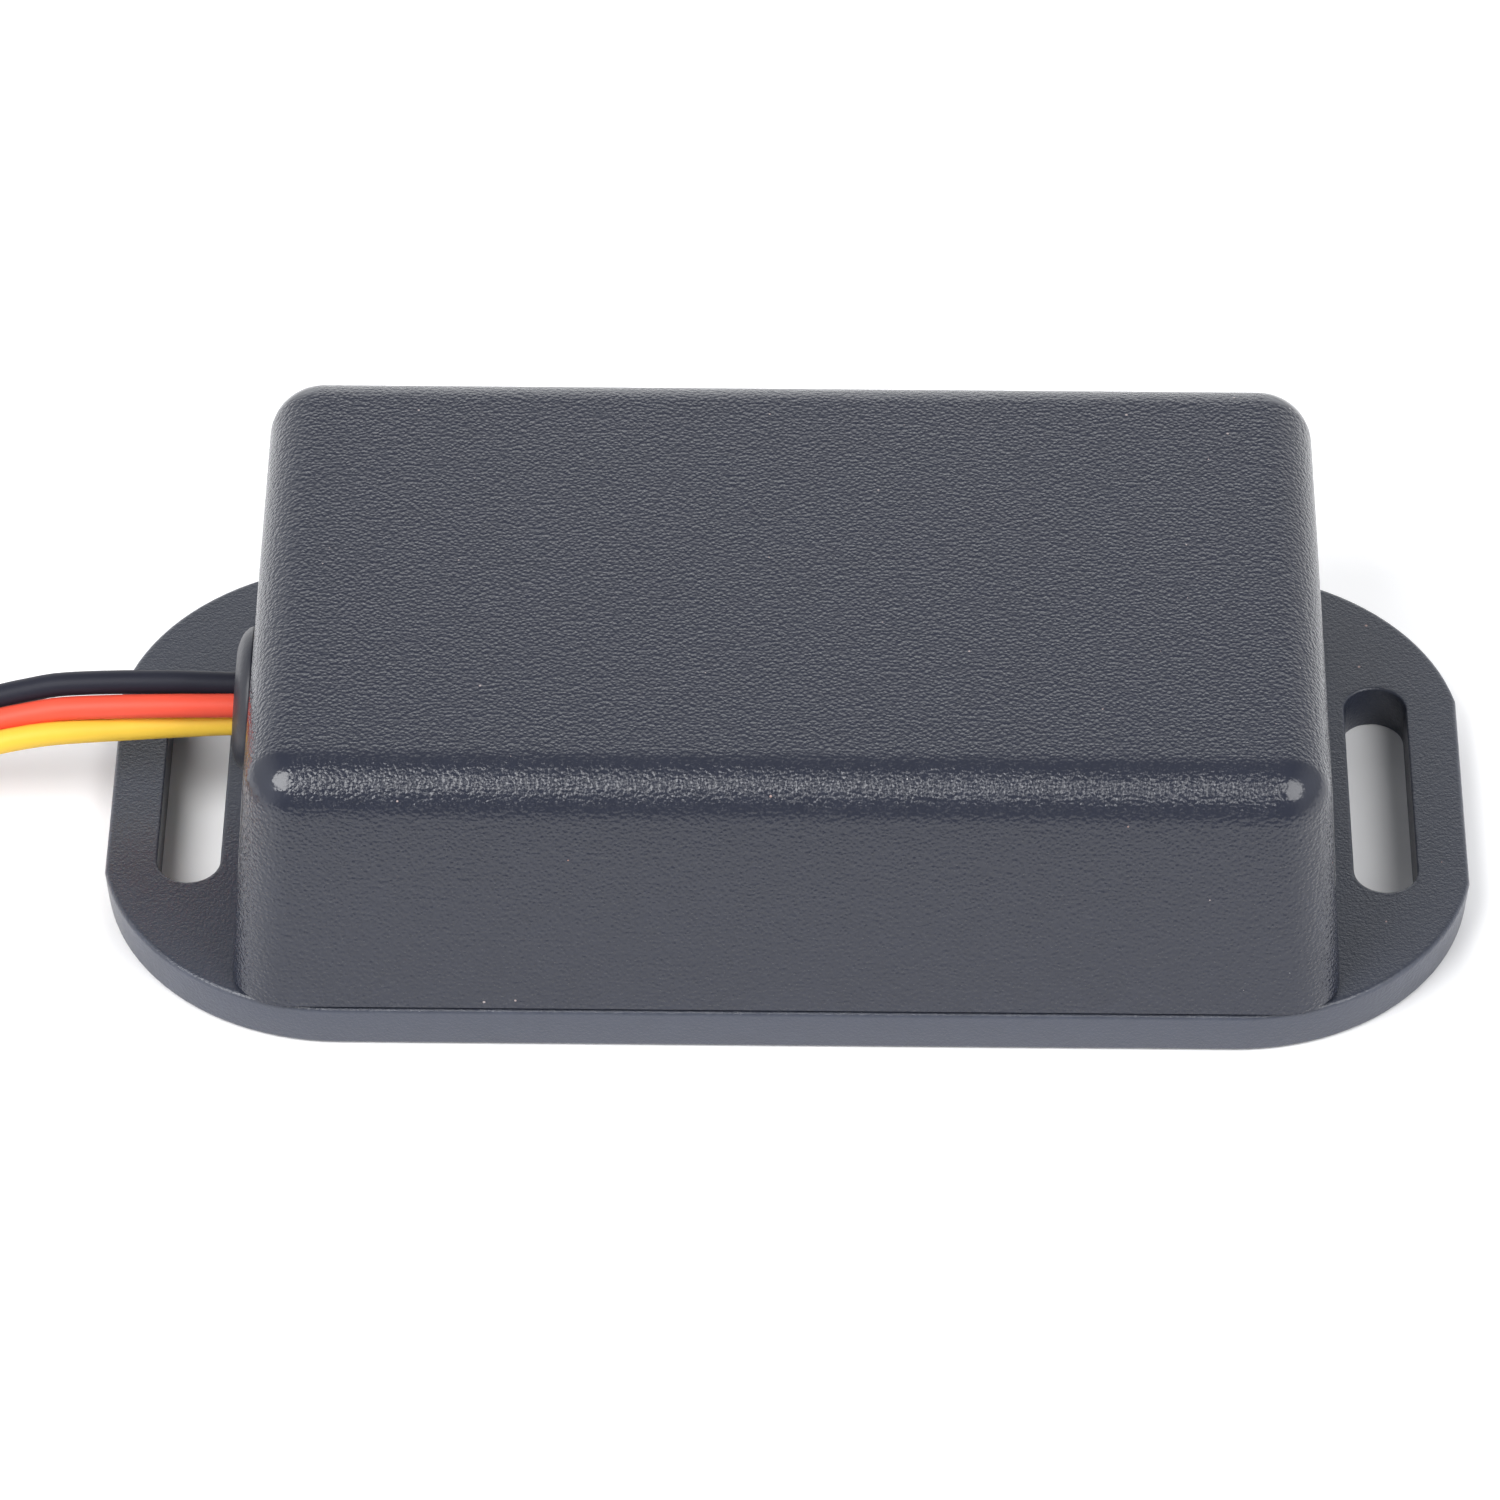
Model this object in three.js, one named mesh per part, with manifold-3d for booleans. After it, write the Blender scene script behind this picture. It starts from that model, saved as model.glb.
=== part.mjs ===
// A small flanged electronics housing with three loose leads: a drafted five-sided cover stands on a flat
// base plate whose slotted ears reach past it at both ends. The base plate carries the circuit board and
// the rubber grommet, and the cover lifts straight off them.
// Millimetres, +Z up. The origin is the centre of the base plate's underside, +X runs along the length,
// the leads leave at -X, and -Y is the long side that faces the viewer.
import * as THREE from "three";
import { mergeVertices } from "three/addons/utils/BufferGeometryUtils.js";
import Module from "manifold-3d";

const wasm = await Module();
wasm.setup();

// Driving dimensions
const length = 80; // across both ears
const width = 38.6; // base plate and cover foot, front to back
const height = 19.8; // underside to the top of the cover
const plate = 3; // base plate thickness
const coverLength = 64; // cover foot, end to end
const wall = 1.8; // cover wall
const draft = Math.tan(THREE.MathUtils.degToRad(4.5)); // lean of the cover's four sides
const seam = 0.2; // gap between cover and base plate
const gap = 0.3; // running and moulding clearance between neighbours
const restGap = 0.1; // gap under a piece that sits on another

// Base plate
const earRadius = 14.4; // rounding of the four corners
const earCentreX = 26; // centre of that rounding, so it meets the end flat at a slight angle
const lip = 0.25; // broken edges of the plate and its slots
const slotX = 35.1; // slot centre line
const slotWidth = 3.7;
const slotLength = 17.5;
const ribHeight = 1.5; // locating ribs that stand just inside the cover walls
const ribThickness = 1.2;
const sideRibHalf = 20; // half length of the ribs along both sides
const endRibHalf = 9;
const postRadius = 2.5;
const postSpots = [
  [-18.5, 12],
  [-18.5, -12],
  [20.5, 12],
  [20.5, -12],
];
const boardScrewSpots = [postSpots[0], postSpots[3]];
const postBoreRadius = 1.1;
const boardHoleRadius = 1.3;
// Way of a cover screw through the plate, as [radius, z]: a recess, a countersink and a clearance hole.
const screwWay = [[0, -1], [3.8, -1], [3.8, 0], [2.9, 0], [1.6, 1.5], [1.6, 4], [0, 4]];

// Cover
const cornerRadius = 3.2; // upright corners
const topRadius = 3; // rounding between sides and top
const bossX = 27.8; // screw bosses in the cover's corners
const bossY = 15.1;
const bossRadius = 2.7;
const bossBoreRadius = 1.3;
const bossBoreTop = 12.5;

// Grommet in the left wall
const grommetZ = 9.5;
const grommetHeadRadius = 4.2;
const grommetGrooveRadius = 3.1;
const grommetHead = 1.05; // how far the outer head stands out of the wall
const seatRadius = 3.4; // round seat in the cover's wall
const notchHalf = 4.5; // the wall is open below that seat, a little wider than the head, so the cover lifts off
const tongueDepth = 7; // how far the base plate's tongue may reach in from the wall

// Board
const boardX = [-22, 24];
const boardHalfWidth = 15.5;
const boardThickness = 1.6;
const boardBottom = 6.2;
const boardTop = boardBottom + boardThickness;

// Leads: three single cores, loosely coiled together beside the housing
const leadRadius = 0.71;
const tipRadius = 0.45;
const tipLength = 5;
const leadNames = ["black", "red", "yellow"];
const leadColours = { black: 0x2d2f37, red: 0xf0553f, yellow: 0xf3cf3f };
// Each route runs from the grommet's face to the coil, and is a list chosen by hand.
const leadRoutes = {
  black: [
    [-33.05, 0.63, 10.12],
    [-35.8, 0.7, 10.15],
    [-39.3, 0.9, 9.92],
    [-42.9, 1.1, 9.5],
    [-44.7, 1.2, 8.98],
    [-46.5, 1.3, 8.35],
    [-50, 1.4, 7],
    [-54, 1.45, 5.5],
    [-58, 1.45, 4.15],
    [-63.3, 1.45, 2.8],
  ],
  red: [
    [-33.05, -0.78, 9.66],
    [-35.7, -0.7, 9.55],
    [-39.3, -0.45, 9.21],
    [-42.8, -0.2, 8.74],
    [-44.6, -0.1, 8.24],
    [-46.4, 0, 7.65],
    [-50, 0, 6.4],
    [-54, 0, 5.1],
    [-57.5, 0, 4.05],
    [-61, 0, 3.2],
  ],
  yellow: [
    [-33.05, -0.47, 7.95],
    [-35.8, -0.6, 7.87],
    [-39.4, -0.8, 7.73],
    [-43, -1.05, 7.6],
    [-44.7, -1.2, 7.42],
    [-46.5, -1.38, 7.1],
    [-50, -1.45, 6.1],
    [-54, -1.45, 4.9],
    [-59.5, -1.45, 3.5],
  ],
};
const coilCentre = [-70, -12];
const coilRadii = { black: 13.45, red: 12, yellow: 10.55 };
const coilTurnDegrees = { black: 415, red: 465, yellow: 530 }; // turned from +Y, anticlockwise from above
const coilBottom = 0.75; // the coil lies on its tie
const coilHeight = 2.85;
const tailLength = 14; // straight end of each lead, past the coil
const tailZ = 0.73;
const tieAngle = 120;
const tieThickness = 0.4;
const tieWidth = 2.5;

// Colours of the solids
const housingBlack = 0x3a3d45;
const boardGreen = 0x1f5a3c;
const chipBlack = 0x1c1d20;
const tinned = 0xb9bcc0;

// Turns a closed geometry into a solid that can be joined and cut.
function solidOf(geometry) {
  const bare = new THREE.BufferGeometry();
  bare.setAttribute("position", geometry.getAttribute("position"));
  if (geometry.index) bare.setIndex(geometry.index);
  const merged = mergeVertices(bare, 1e-4);
  const vertProperties = new Float32Array(merged.attributes.position.array);
  const triVerts = new Uint32Array(merged.index.array);
  return new wasm.Manifold(new wasm.Mesh({ numProp: 3, vertProperties, triVerts }));
}

function geometryOf(solid) {
  const mesh = solid.getMesh();
  const geometry = new THREE.BufferGeometry();
  geometry.setAttribute("position", new THREE.BufferAttribute(new Float32Array(mesh.vertProperties), 3));
  geometry.setIndex(new THREE.BufferAttribute(new Uint32Array(mesh.triVerts), 1));
  geometry.computeVertexNormals();
  return geometry;
}

function joined(solids) {
  return solids.reduce((sum, next) => sum.add(next));
}

function cut(solid, tools) {
  return tools.reduce((rest, tool) => rest.subtract(tool), solid);
}

// A box from its low to its high corner.
function block(low, high) {
  const size = high.map((value, i) => value - low[i]);
  const middle = high.map((value, i) => (value + low[i]) / 2);
  return solidOf(new THREE.BoxGeometry(...size).translate(...middle));
}

// An upright cylinder at x, y between two heights.
function column(x, y, radius, bottom, top, sides = 20) {
  const geometry = new THREE.CylinderGeometry(radius, radius, top - bottom, sides);
  return solidOf(geometry.rotateX(Math.PI / 2).translate(x, y, (top + bottom) / 2));
}

// A turned piece about an upright axis, from a profile of [radius, z] points that ends on the axis.
function turned(profile, sides = 20) {
  const points = profile.map(([radius, z]) => new THREE.Vector2(radius, z));
  return new THREE.LatheGeometry(points, sides).rotateX(Math.PI / 2);
}

function roundedRectangle(halfX, halfY, radius) {
  const shape = new THREE.Shape();
  shape.absarc(halfX - radius, halfY - radius, radius, 0, Math.PI / 2);
  shape.absarc(-halfX + radius, halfY - radius, radius, Math.PI / 2, Math.PI);
  shape.absarc(-halfX + radius, -halfY + radius, radius, Math.PI, 1.5 * Math.PI);
  shape.absarc(halfX - radius, -halfY + radius, radius, 1.5 * Math.PI, 2 * Math.PI);
  return shape;
}

// A box with leaning sides, rounded upright corners and a rounded top edge, from foot to top.
// Its half sizes are those at the foot.
function draftedBox(halfX, halfY, foot, top, corner, edge, segments) {
  const lean = draft * (top - foot);
  const small = Math.max(corner - edge, 0.15);
  const shape = roundedRectangle(halfX - lean - edge, halfY - lean - edge, small);
  const geometry = new THREE.ExtrudeGeometry(shape, {
    depth: top - foot,
    steps: 1,
    curveSegments: segments,
    bevelEnabled: true,
    bevelThickness: edge,
    bevelSize: edge,
    bevelSegments: segments,
  });
  geometry.translate(0, 0, foot - edge);
  const position = geometry.getAttribute("position");
  for (let i = 0; i < position.count; i += 1) {
    const out = draft * (top - position.getZ(i));
    position.setX(i, position.getX(i) + Math.sign(position.getX(i)) * out);
    position.setY(i, position.getY(i) + Math.sign(position.getY(i)) * out);
  }
  const below = block([-length, -length, foot - 3 * edge], [length, length, foot]);
  return solidOf(geometry).subtract(below);
}

// The base plate's outline, pulled in by inset: four big corner arcs cut short by the end flats.
function plateShape(inset) {
  const radius = earRadius - inset;
  const end = length / 2 - inset;
  const centreY = width / 2 - earRadius;
  const start = Math.acos((end - earCentreX) / radius);
  const shape = new THREE.Shape();
  shape.absarc(earCentreX, centreY, radius, start, Math.PI / 2);
  shape.absarc(-earCentreX, centreY, radius, Math.PI / 2, Math.PI - start);
  shape.absarc(-earCentreX, -centreY, radius, Math.PI + start, 1.5 * Math.PI);
  shape.absarc(earCentreX, -centreY, radius, 1.5 * Math.PI, 2 * Math.PI - start);
  return shape;
}

// One ear's slot as a hole, grown by the broken edge that narrows it again.
function slotHole(side) {
  const radius = slotWidth / 2 + lip;
  const straight = (slotLength - slotWidth) / 2;
  const hole = new THREE.Path();
  hole.absarc(side * slotX, straight, radius, 0, Math.PI);
  hole.absarc(side * slotX, -straight, radius, Math.PI, 2 * Math.PI);
  return hole;
}

// The cover before its notch and bosses: outer form less the hollow.
function coverShell(foot) {
  const outer = draftedBox(coverLength / 2, width / 2, foot, height, cornerRadius, topRadius, 6);
  const inner = draftedBox(
    coverLength / 2 - wall,
    width / 2 - wall,
    foot - 1,
    height - wall,
    cornerRadius - wall + 0.4,
    1.4,
    3,
  );
  return outer.subtract(inner);
}

// The round seat of the grommet's groove, along X through the left wall.
function grommetSeat(radius) {
  const seat = new THREE.CylinderGeometry(radius, radius, 8, 24).rotateZ(Math.PI / 2);
  return solidOf(seat.translate(-coverLength / 2 + wall / 2, 0, grommetZ));
}

function basePlateSolid() {
  const shape = plateShape(lip);
  shape.holes.push(slotHole(1), slotHole(-1));
  const flat = new THREE.ExtrudeGeometry(shape, {
    depth: plate - 2 * lip,
    steps: 1,
    curveSegments: 10,
    bevelEnabled: true,
    bevelThickness: lip,
    bevelSize: lip,
    bevelSegments: 1,
  }).translate(0, 0, lip);
  const ribTop = plate + ribHeight;
  const ribOut = width / 2 - wall - draft * ribHeight - gap;
  const ribEnd = coverLength / 2 - wall - draft * ribHeight - gap;
  const root = plate - 0.5;
  const ribs = [1, -1].map((side) => {
    const near = side * ribOut;
    const far = side * (ribOut - ribThickness);
    return block([-sideRibHalf, Math.min(near, far), root], [sideRibHalf, Math.max(near, far), ribTop]);
  });
  const endRib = block([ribEnd - ribThickness, -endRibHalf, root], [ribEnd, endRibHalf, ribTop]);
  const posts = postSpots.map(([x, y]) => column(x, y, postRadius, root, boardBottom - restGap));
  // The tongue fills the cover's notch below the grommet and carries its groove.
  const tongueHalf = notchHalf - gap;
  const tongueSpace = block(
    [-coverLength / 2 - 1, -tongueHalf, root],
    [-coverLength / 2 + tongueDepth, tongueHalf, grommetZ - gap],
  );
  const tongue = coverShell(root).intersect(tongueSpace);
  const bores = boardScrewSpots.map(([x, y]) => column(x, y, postBoreRadius, plate + 0.4, boardBottom + 1, 12));
  const screwWays = [];
  for (const sx of [1, -1]) {
    for (const sy of [1, -1]) {
      screwWays.push(solidOf(turned(screwWay).translate(sx * bossX, sy * bossY, 0)));
    }
  }
  const whole = joined([solidOf(flat), ...ribs, endRib, ...posts, tongue]);
  return cut(whole, [...bores, ...screwWays, grommetSeat(grommetGrooveRadius + gap)]);
}

function coverSolid() {
  const foot = plate + seam;
  const outer = draftedBox(coverLength / 2, width / 2, foot, height, cornerRadius, topRadius, 6);
  const parts = [coverShell(foot)];
  const bores = [];
  for (const sx of [1, -1]) {
    for (const sy of [1, -1]) {
      const boss = column(sx * bossX, sy * bossY, bossRadius, foot, height - wall / 2);
      parts.push(boss.intersect(outer));
      bores.push(column(sx * bossX, sy * bossY, bossBoreRadius, foot - 1, bossBoreTop, 12));
    }
  }
  const notchDepth = 4.5;
  const notch = block(
    [-coverLength / 2 - 1, -notchHalf, 0],
    [-coverLength / 2 + notchDepth, notchHalf, grommetZ],
  );
  return cut(joined(parts), [...bores, notch, grommetSeat(seatRadius)]);
}

// The grommet's profile along its axis: outer head, groove, inner head. Distance 0 is the wall's outer face.
function grommetGeometry() {
  const clear = 0.15;
  const back = wall + clear;
  const profile = [
    [0, -back - 1],
    [3.5, -back - 1],
    [4, -back - 0.5],
    [4, -back],
    [grommetGrooveRadius, -back],
    [grommetGrooveRadius, clear],
    [grommetHeadRadius, clear],
    [grommetHeadRadius, 0.45],
    [grommetHeadRadius - 0.2, 0.8],
    [grommetHeadRadius - 0.7, grommetHead],
    [0, grommetHead],
  ];
  return turned(profile, 28).rotateY(-Math.PI / 2);
}

function boardSolid() {
  const shape = roundedRectangle((boardX[1] - boardX[0]) / 2, boardHalfWidth, 1);
  const slab = new THREE.ExtrudeGeometry(shape, {
    depth: boardThickness,
    curveSegments: 4,
    bevelEnabled: false,
  }).translate((boardX[0] + boardX[1]) / 2, 0, boardBottom);
  const holes = boardScrewSpots.map(([x, y]) => column(x, y, boardHoleRadius, boardBottom - 1, boardTop + 1, 14));
  return cut(solidOf(slab), holes);
}

// A flat package with a row of feet on two opposite sides, resting on the board.
function packageSolid({ size, feet, footWidth, pitch, reach }) {
  const [x, y, z] = size;
  const stand = 0.15;
  const body = block([-x / 2, -y / 2, stand], [x / 2, y / 2, stand + z]);
  const legs = [];
  for (const side of [1, -1]) {
    const count = side > 0 ? feet[0] : feet[1];
    const wide = count === 1 ? footWidth[0] : footWidth[1];
    for (let i = 0; i < count; i += 1) {
      const along = (i - (count - 1) / 2) * pitch;
      const inner = side * (y / 2 - 0.4);
      const outer = side * (y / 2 + reach);
      const low = [along - wide / 2, Math.min(inner, outer), 0];
      const high = [along + wide / 2, Math.max(inner, outer), 0.5];
      legs.push(block(low, high));
    }
  }
  return joined([body, ...legs]);
}

// A chip part with its two end caps a little larger than its body.
function chipSolid(x, y, z) {
  const cap = 0.4;
  const body = block([-x / 2 + 0.1, -y / 2 + 0.05, 0.03], [x / 2 - 0.1, y / 2 - 0.05, z - 0.03]);
  const left = block([-x / 2, -y / 2, 0], [-x / 2 + cap, y / 2, z]);
  const right = block([x / 2 - cap, -y / 2, 0], [x / 2, y / 2, z]);
  return joined([body, left, right]);
}

function capacitorGeometry() {
  const profile = [
    [0, 0],
    [2.9, 0],
    [3.15, 0.25],
    [3.15, 1],
    [2.9, 1.3],
    [3.15, 1.6],
    [3.15, 6.7],
    [2.85, 7],
    [2.4, 7],
    [2.3, 6.9],
    [0, 6.9],
  ];
  return turned(profile, 24);
}

// Self-tapping screw for the board: pan head on top, plain shank.
function boardScrewGeometry() {
  return turned([[0, -4], [0.5, -4], [0.8, -3.3], [0.8, 0], [2, 0], [2, 0.7], [1.5, 1.3], [0, 1.4]], 18);
}

// Countersunk screw that holds the cover from below.
function coverScrewGeometry() {
  return turned([[0, 0.15], [2.5, 0.15], [2.5, 0.3], [1, 1.8], [1, 9.6], [0.4, 11], [0, 11]], 18);
}

function solderGeometry() {
  return turned([[0, 0], [1.3, 0], [1.15, 0.35], [0.75, 0.8], [0.3, 0.95], [0, 1]], 14);
}

// A tube along a curve, with plain flat ends.
function tubeGeometry(points, radius, sides, steps) {
  const section = new THREE.Shape();
  for (let i = 0; i < sides; i += 1) {
    const angle = (2 * Math.PI * (i + 0.5)) / sides;
    const x = radius * Math.cos(angle);
    const y = radius * Math.sin(angle);
    if (i === 0) section.moveTo(x, y);
    else section.lineTo(x, y);
  }
  section.closePath();
  const path = new THREE.CatmullRomCurve3(points.map((point) => new THREE.Vector3(...point)));
  return new THREE.ExtrudeGeometry(section, { steps, extrudePath: path, bevelEnabled: false });
}

// The coil's outer shape: a flat ring that holds every turn.
function coilGeometry() {
  const outer = coilRadii.black + leadRadius;
  const inner = coilRadii.yellow - leadRadius;
  const soft = 0.5;
  const points = [
    [inner, soft],
    [inner + soft, 0],
    [outer - soft, 0],
    [outer, soft],
    [outer, coilHeight - soft],
    [outer - soft, coilHeight],
    [inner + soft, coilHeight],
    [inner, coilHeight - soft],
    [inner, soft],
  ];
  return turned(points, 40);
}

// The tie: a thin band round the bundle of turns, with its twisted ends lying outwards.
function tieSolid() {
  const inner = coilRadii.yellow - leadRadius - gap;
  const outer = coilRadii.black + leadRadius + gap;
  const bottom = coilBottom - gap;
  const top = coilBottom + coilHeight + gap;
  const around = block(
    [inner - tieThickness, -tieWidth / 2, bottom - tieThickness],
    [outer + tieThickness, tieWidth / 2, top + tieThickness],
  );
  const within = block([inner, -tieWidth, bottom], [outer, tieWidth, top]);
  const ends = block([outer + tieThickness / 2, -0.55, 1], [outer + 7.5, 0.55, 2.1]);
  return around.subtract(within).add(ends);
}

const unit = new THREE.Group();

function add(name, shape, finish, parent = unit) {
  const geometry = shape.isBufferGeometry ? shape : geometryOf(shape);
  const mesh = new THREE.Mesh(geometry, new THREE.MeshStandardMaterial(finish));
  mesh.name = name;
  parent.add(mesh);
  return mesh;
}

const mouldedBlack = { color: housingBlack, roughness: 0.55, metalness: 0 };
const rubberBlack = { color: 0x34363d, roughness: 0.7, metalness: 0 };
const laminate = { color: boardGreen, roughness: 0.5, metalness: 0 };
const epoxy = { color: chipBlack, roughness: 0.5, metalness: 0 };
const metal = { color: tinned, roughness: 0.35, metalness: 1 };
const steel = { color: 0x8d9096, roughness: 0.4, metalness: 1 };

add("base_plate", basePlateSolid(), mouldedBlack);
add("cover", coverSolid(), mouldedBlack);

const wallOut = coverLength / 2 - draft * (grommetZ - plate - seam);
const grommet = add("cable_grommet", grommetGeometry(), rubberBlack);
grommet.position.set(-wallOut, 0, grommetZ);
grommet.rotation.y = Math.atan(draft);

let screwNumber = 1;
for (const sy of [-1, 1]) {
  for (const sx of [-1, 1]) {
    const screw = add(`cover_screw_${screwNumber}`, coverScrewGeometry(), steel);
    screw.position.set(sx * bossX, sy * bossY, 0);
    screwNumber += 1;
  }
}

// Everything that sits on the board is placed from the board's top face.
const onBoard = new THREE.Group();
onBoard.position.z = boardTop + restGap;
unit.add(onBoard);
add("circuit_board", boardSolid(), laminate);
boardScrewSpots.forEach(([x, y], i) => {
  add(`board_screw_${i + 1}`, boardScrewGeometry(), steel, onBoard).position.set(x, y, 0);
});

function place(name, shape, finish, x, y, turn = 0) {
  const mesh = add(name, shape, finish, onBoard);
  mesh.position.set(x, y, 0);
  mesh.rotation.z = turn;
}

const soic = { size: [4.9, 3.9, 1.5], feet: [4, 4], footWidth: [0.45, 0.45], pitch: 1.27, reach: 1 };
const dpak = { size: [6.6, 6.1, 2.3], feet: [1, 2], footWidth: [5.3, 0.8], pitch: 4.56, reach: 1.6 };
const sot = { size: [6.5, 3.5, 1.6], feet: [1, 3], footWidth: [3, 0.7], pitch: 2.3, reach: 1.7 };
const diode = { size: [2.6, 4.3, 2], feet: [1, 1], footWidth: [1.5, 1.5], pitch: 1, reach: 0.4 };
place("controller_chip", packageSolid(soic), epoxy, 7.5, 4.5);
place("power_transistor", packageSolid(dpak), epoxy, 14.5, -6.5, -Math.PI / 2);
place("voltage_regulator", packageSolid(sot), epoxy, -3, -1.5, Math.PI / 2);
place("protection_diode", packageSolid(diode), epoxy, -10.5, -6.5);
place("filter_capacitor", capacitorGeometry(), { color: 0x23262f, roughness: 0.4, metalness: 0 }, -4, 9);
place("resettable_fuse", chipSolid(4.6, 3.3, 1.1), { color: 0x2f6b45, roughness: 0.5 }, -10.5, 1.2, Math.PI / 2);
[[1.8, 7.5], [13.4, 9.2]].forEach(([x, y], i) => {
  place(`ceramic_capacitor_${i + 1}`, chipSolid(2, 1.25, 0.9), { color: 0xb08a5e, roughness: 0.5 }, x, y);
});
[[2.4, -4.2], [2.4, -6.6], [5.8, -4.2], [5.8, -6.6]].forEach(([x, y], i) => {
  place(`chip_resistor_${i + 1}`, chipSolid(2, 1.25, 0.55), epoxy, x, y);
});

// Leads inside the housing, from the grommet's inner head to their solder joints on the board.
const padX = -16.6;
const padY = { black: 4.6, red: 0, yellow: -4.6 };
for (const name of leadNames) {
  const [, y, z] = leadRoutes[name][0];
  const rest = boardTop + restGap + leadRadius;
  const plastic = { color: leadColours[name], roughness: 0.45, metalness: 0 };
  const inner = [
    [-28.2, y, z],
    [-26.2, y + 0.1 * padY[name], z - 0.1],
    [-23.4, 0.6 * padY[name], rest + 0.6],
    [-20.8, 0.93 * padY[name], rest + 0.1],
    [-18.25, padY[name], rest],
  ];
  add(`board_lead_${name}`, tubeGeometry(inner, leadRadius, 8, 9), plastic);
  place(`solder_joint_${name}`, solderGeometry(), metal, padX, padY[name]);
  add(`lead_${name}`, tubeGeometry(leadRoutes[name], leadRadius, 8, 14), plastic);

  // The straight tail leaves the coil along its tangent.
  const radius = coilRadii[name];
  const angle = THREE.MathUtils.degToRad(90 + coilTurnDegrees[name]);
  const along = new THREE.Vector3(-Math.sin(angle), Math.cos(angle), 0);
  const leave = new THREE.Vector3(radius * Math.cos(angle), radius * Math.sin(angle), tailZ);
  leave.add(new THREE.Vector3(...coilCentre, 0));
  const clearOfCoil = Math.sqrt((coilRadii.black + 2 * leadRadius + gap) ** 2 - radius ** 2);
  const stretch = (from, to) =>
    [from, (from + to) / 2, to].map((s) => leave.clone().addScaledVector(along, s).toArray());
  add(`lead_tail_${name}`, tubeGeometry(stretch(clearOfCoil, tailLength), leadRadius, 8, 2), plastic);
  const tip = stretch(tailLength + gap, tailLength + gap + tipLength);
  add(`lead_tip_${name}`, tubeGeometry(tip, tipRadius, 8, 2), metal);
}

const coil = add("lead_coil", coilGeometry(), { color: leadColours.red, roughness: 0.45, metalness: 0 });
coil.position.set(...coilCentre, coilBottom);
const tie = add("coil_tie", tieSolid(), { color: 0x2a2b2f, roughness: 0.5, metalness: 0 });
tie.position.set(...coilCentre, 0);
tie.rotation.z = THREE.MathUtils.degToRad(tieAngle);

export default unit;
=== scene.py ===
import math

import bmesh
import bpy
import numpy as np
from mathutils import Matrix, Vector
from mathutils.geometry import delaunay_2d_cdt


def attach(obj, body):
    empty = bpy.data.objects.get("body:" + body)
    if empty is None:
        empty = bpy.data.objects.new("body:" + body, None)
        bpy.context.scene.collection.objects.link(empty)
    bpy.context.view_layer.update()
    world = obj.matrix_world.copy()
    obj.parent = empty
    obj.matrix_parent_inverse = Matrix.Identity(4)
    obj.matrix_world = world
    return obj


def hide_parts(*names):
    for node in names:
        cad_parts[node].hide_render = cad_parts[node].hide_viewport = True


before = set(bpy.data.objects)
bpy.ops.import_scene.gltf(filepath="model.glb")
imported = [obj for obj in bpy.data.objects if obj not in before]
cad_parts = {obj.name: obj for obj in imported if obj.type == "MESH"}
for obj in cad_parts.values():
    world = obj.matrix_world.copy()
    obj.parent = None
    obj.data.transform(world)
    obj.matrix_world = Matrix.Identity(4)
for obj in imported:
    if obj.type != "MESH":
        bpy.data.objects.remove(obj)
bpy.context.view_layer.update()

mm = 0.001
scene = bpy.context.scene
print("frame loaded:", len(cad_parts), "nodes")


# camera: everything the user may want to move is in cameraLook
cameraLook = {
    "target": (-2.295, 6.107, 0.0),  # mm
    "distance": 490.3,
    "azimuth": -0.478,
    "elevation": 43.125,
    "roll": 0.152,
    "lens": 195.89,
}


def makeCamera(look):
    # tilted down from the horizon, swung round the target, then rolled about its own line of sight
    data = bpy.data.cameras.new("camera")
    data.lens = look["lens"]
    data.sensor_width = 36.0
    data.clip_start = 0.01
    data.clip_end = 20.0
    turn = (
        Matrix.Rotation(-math.radians(look["azimuth"]), 4, "Z")
        @ Matrix.Rotation(math.radians(90 - look["elevation"]), 4, "X")
        @ Matrix.Rotation(math.radians(look["roll"]), 4, "Z")
    )
    back = turn @ Vector((0, 0, look["distance"] * mm))
    camera = bpy.data.objects.new("camera", data)
    camera.matrix_world = Matrix.Translation(Vector(look["target"]) * mm + back) @ turn
    scene.collection.objects.link(camera)
    scene.camera = camera


makeCamera(cameraLook)
print("camera placed")


# shapes: each function gives (points, faces), points as an n by 3 array in millimetres
def gridFaces(rows, columns, first=0):
    # quads between neighbouring rows of a grid whose columns close on themselves
    r, c = np.meshgrid(np.arange(rows - 1), np.arange(columns), indexing="ij")
    n = (c + 1) % columns
    quads = np.stack([r * columns + c, r * columns + n, (r + 1) * columns + n, (r + 1) * columns + c], -1)
    return (quads.reshape(-1, 4) + first).tolist()


def closedFaces(rows, columns):
    # the same for a grid whose last row also joins the first
    faces = np.array(gridFaces(rows + 1, columns))
    faces[faces >= rows * columns] -= rows * columns
    return faces


def stacked(rings, startPole=None, endPole=None):
    # a surface over a grid: row i is a closed ring of points, and a pole closes the first or last row
    rows, columns = rings.shape[:2]
    points = [rings.reshape(-1, 3)]
    faces = gridFaces(rows, columns)
    edge = np.arange(columns)
    after = (edge + 1) % columns
    count = rows * columns
    for pole, ring, turn in ((startPole, 0, 1), (endPole, count - columns, -1)):
        if pole is not None:
            points.append(np.array([pole], float))
            fan = np.stack([np.full(columns, count), ring + after, ring + edge], -1)
            faces += (fan if turn > 0 else fan[:, [0, 2, 1]]).tolist()
            count += 1
    return np.concatenate(points), faces


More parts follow.
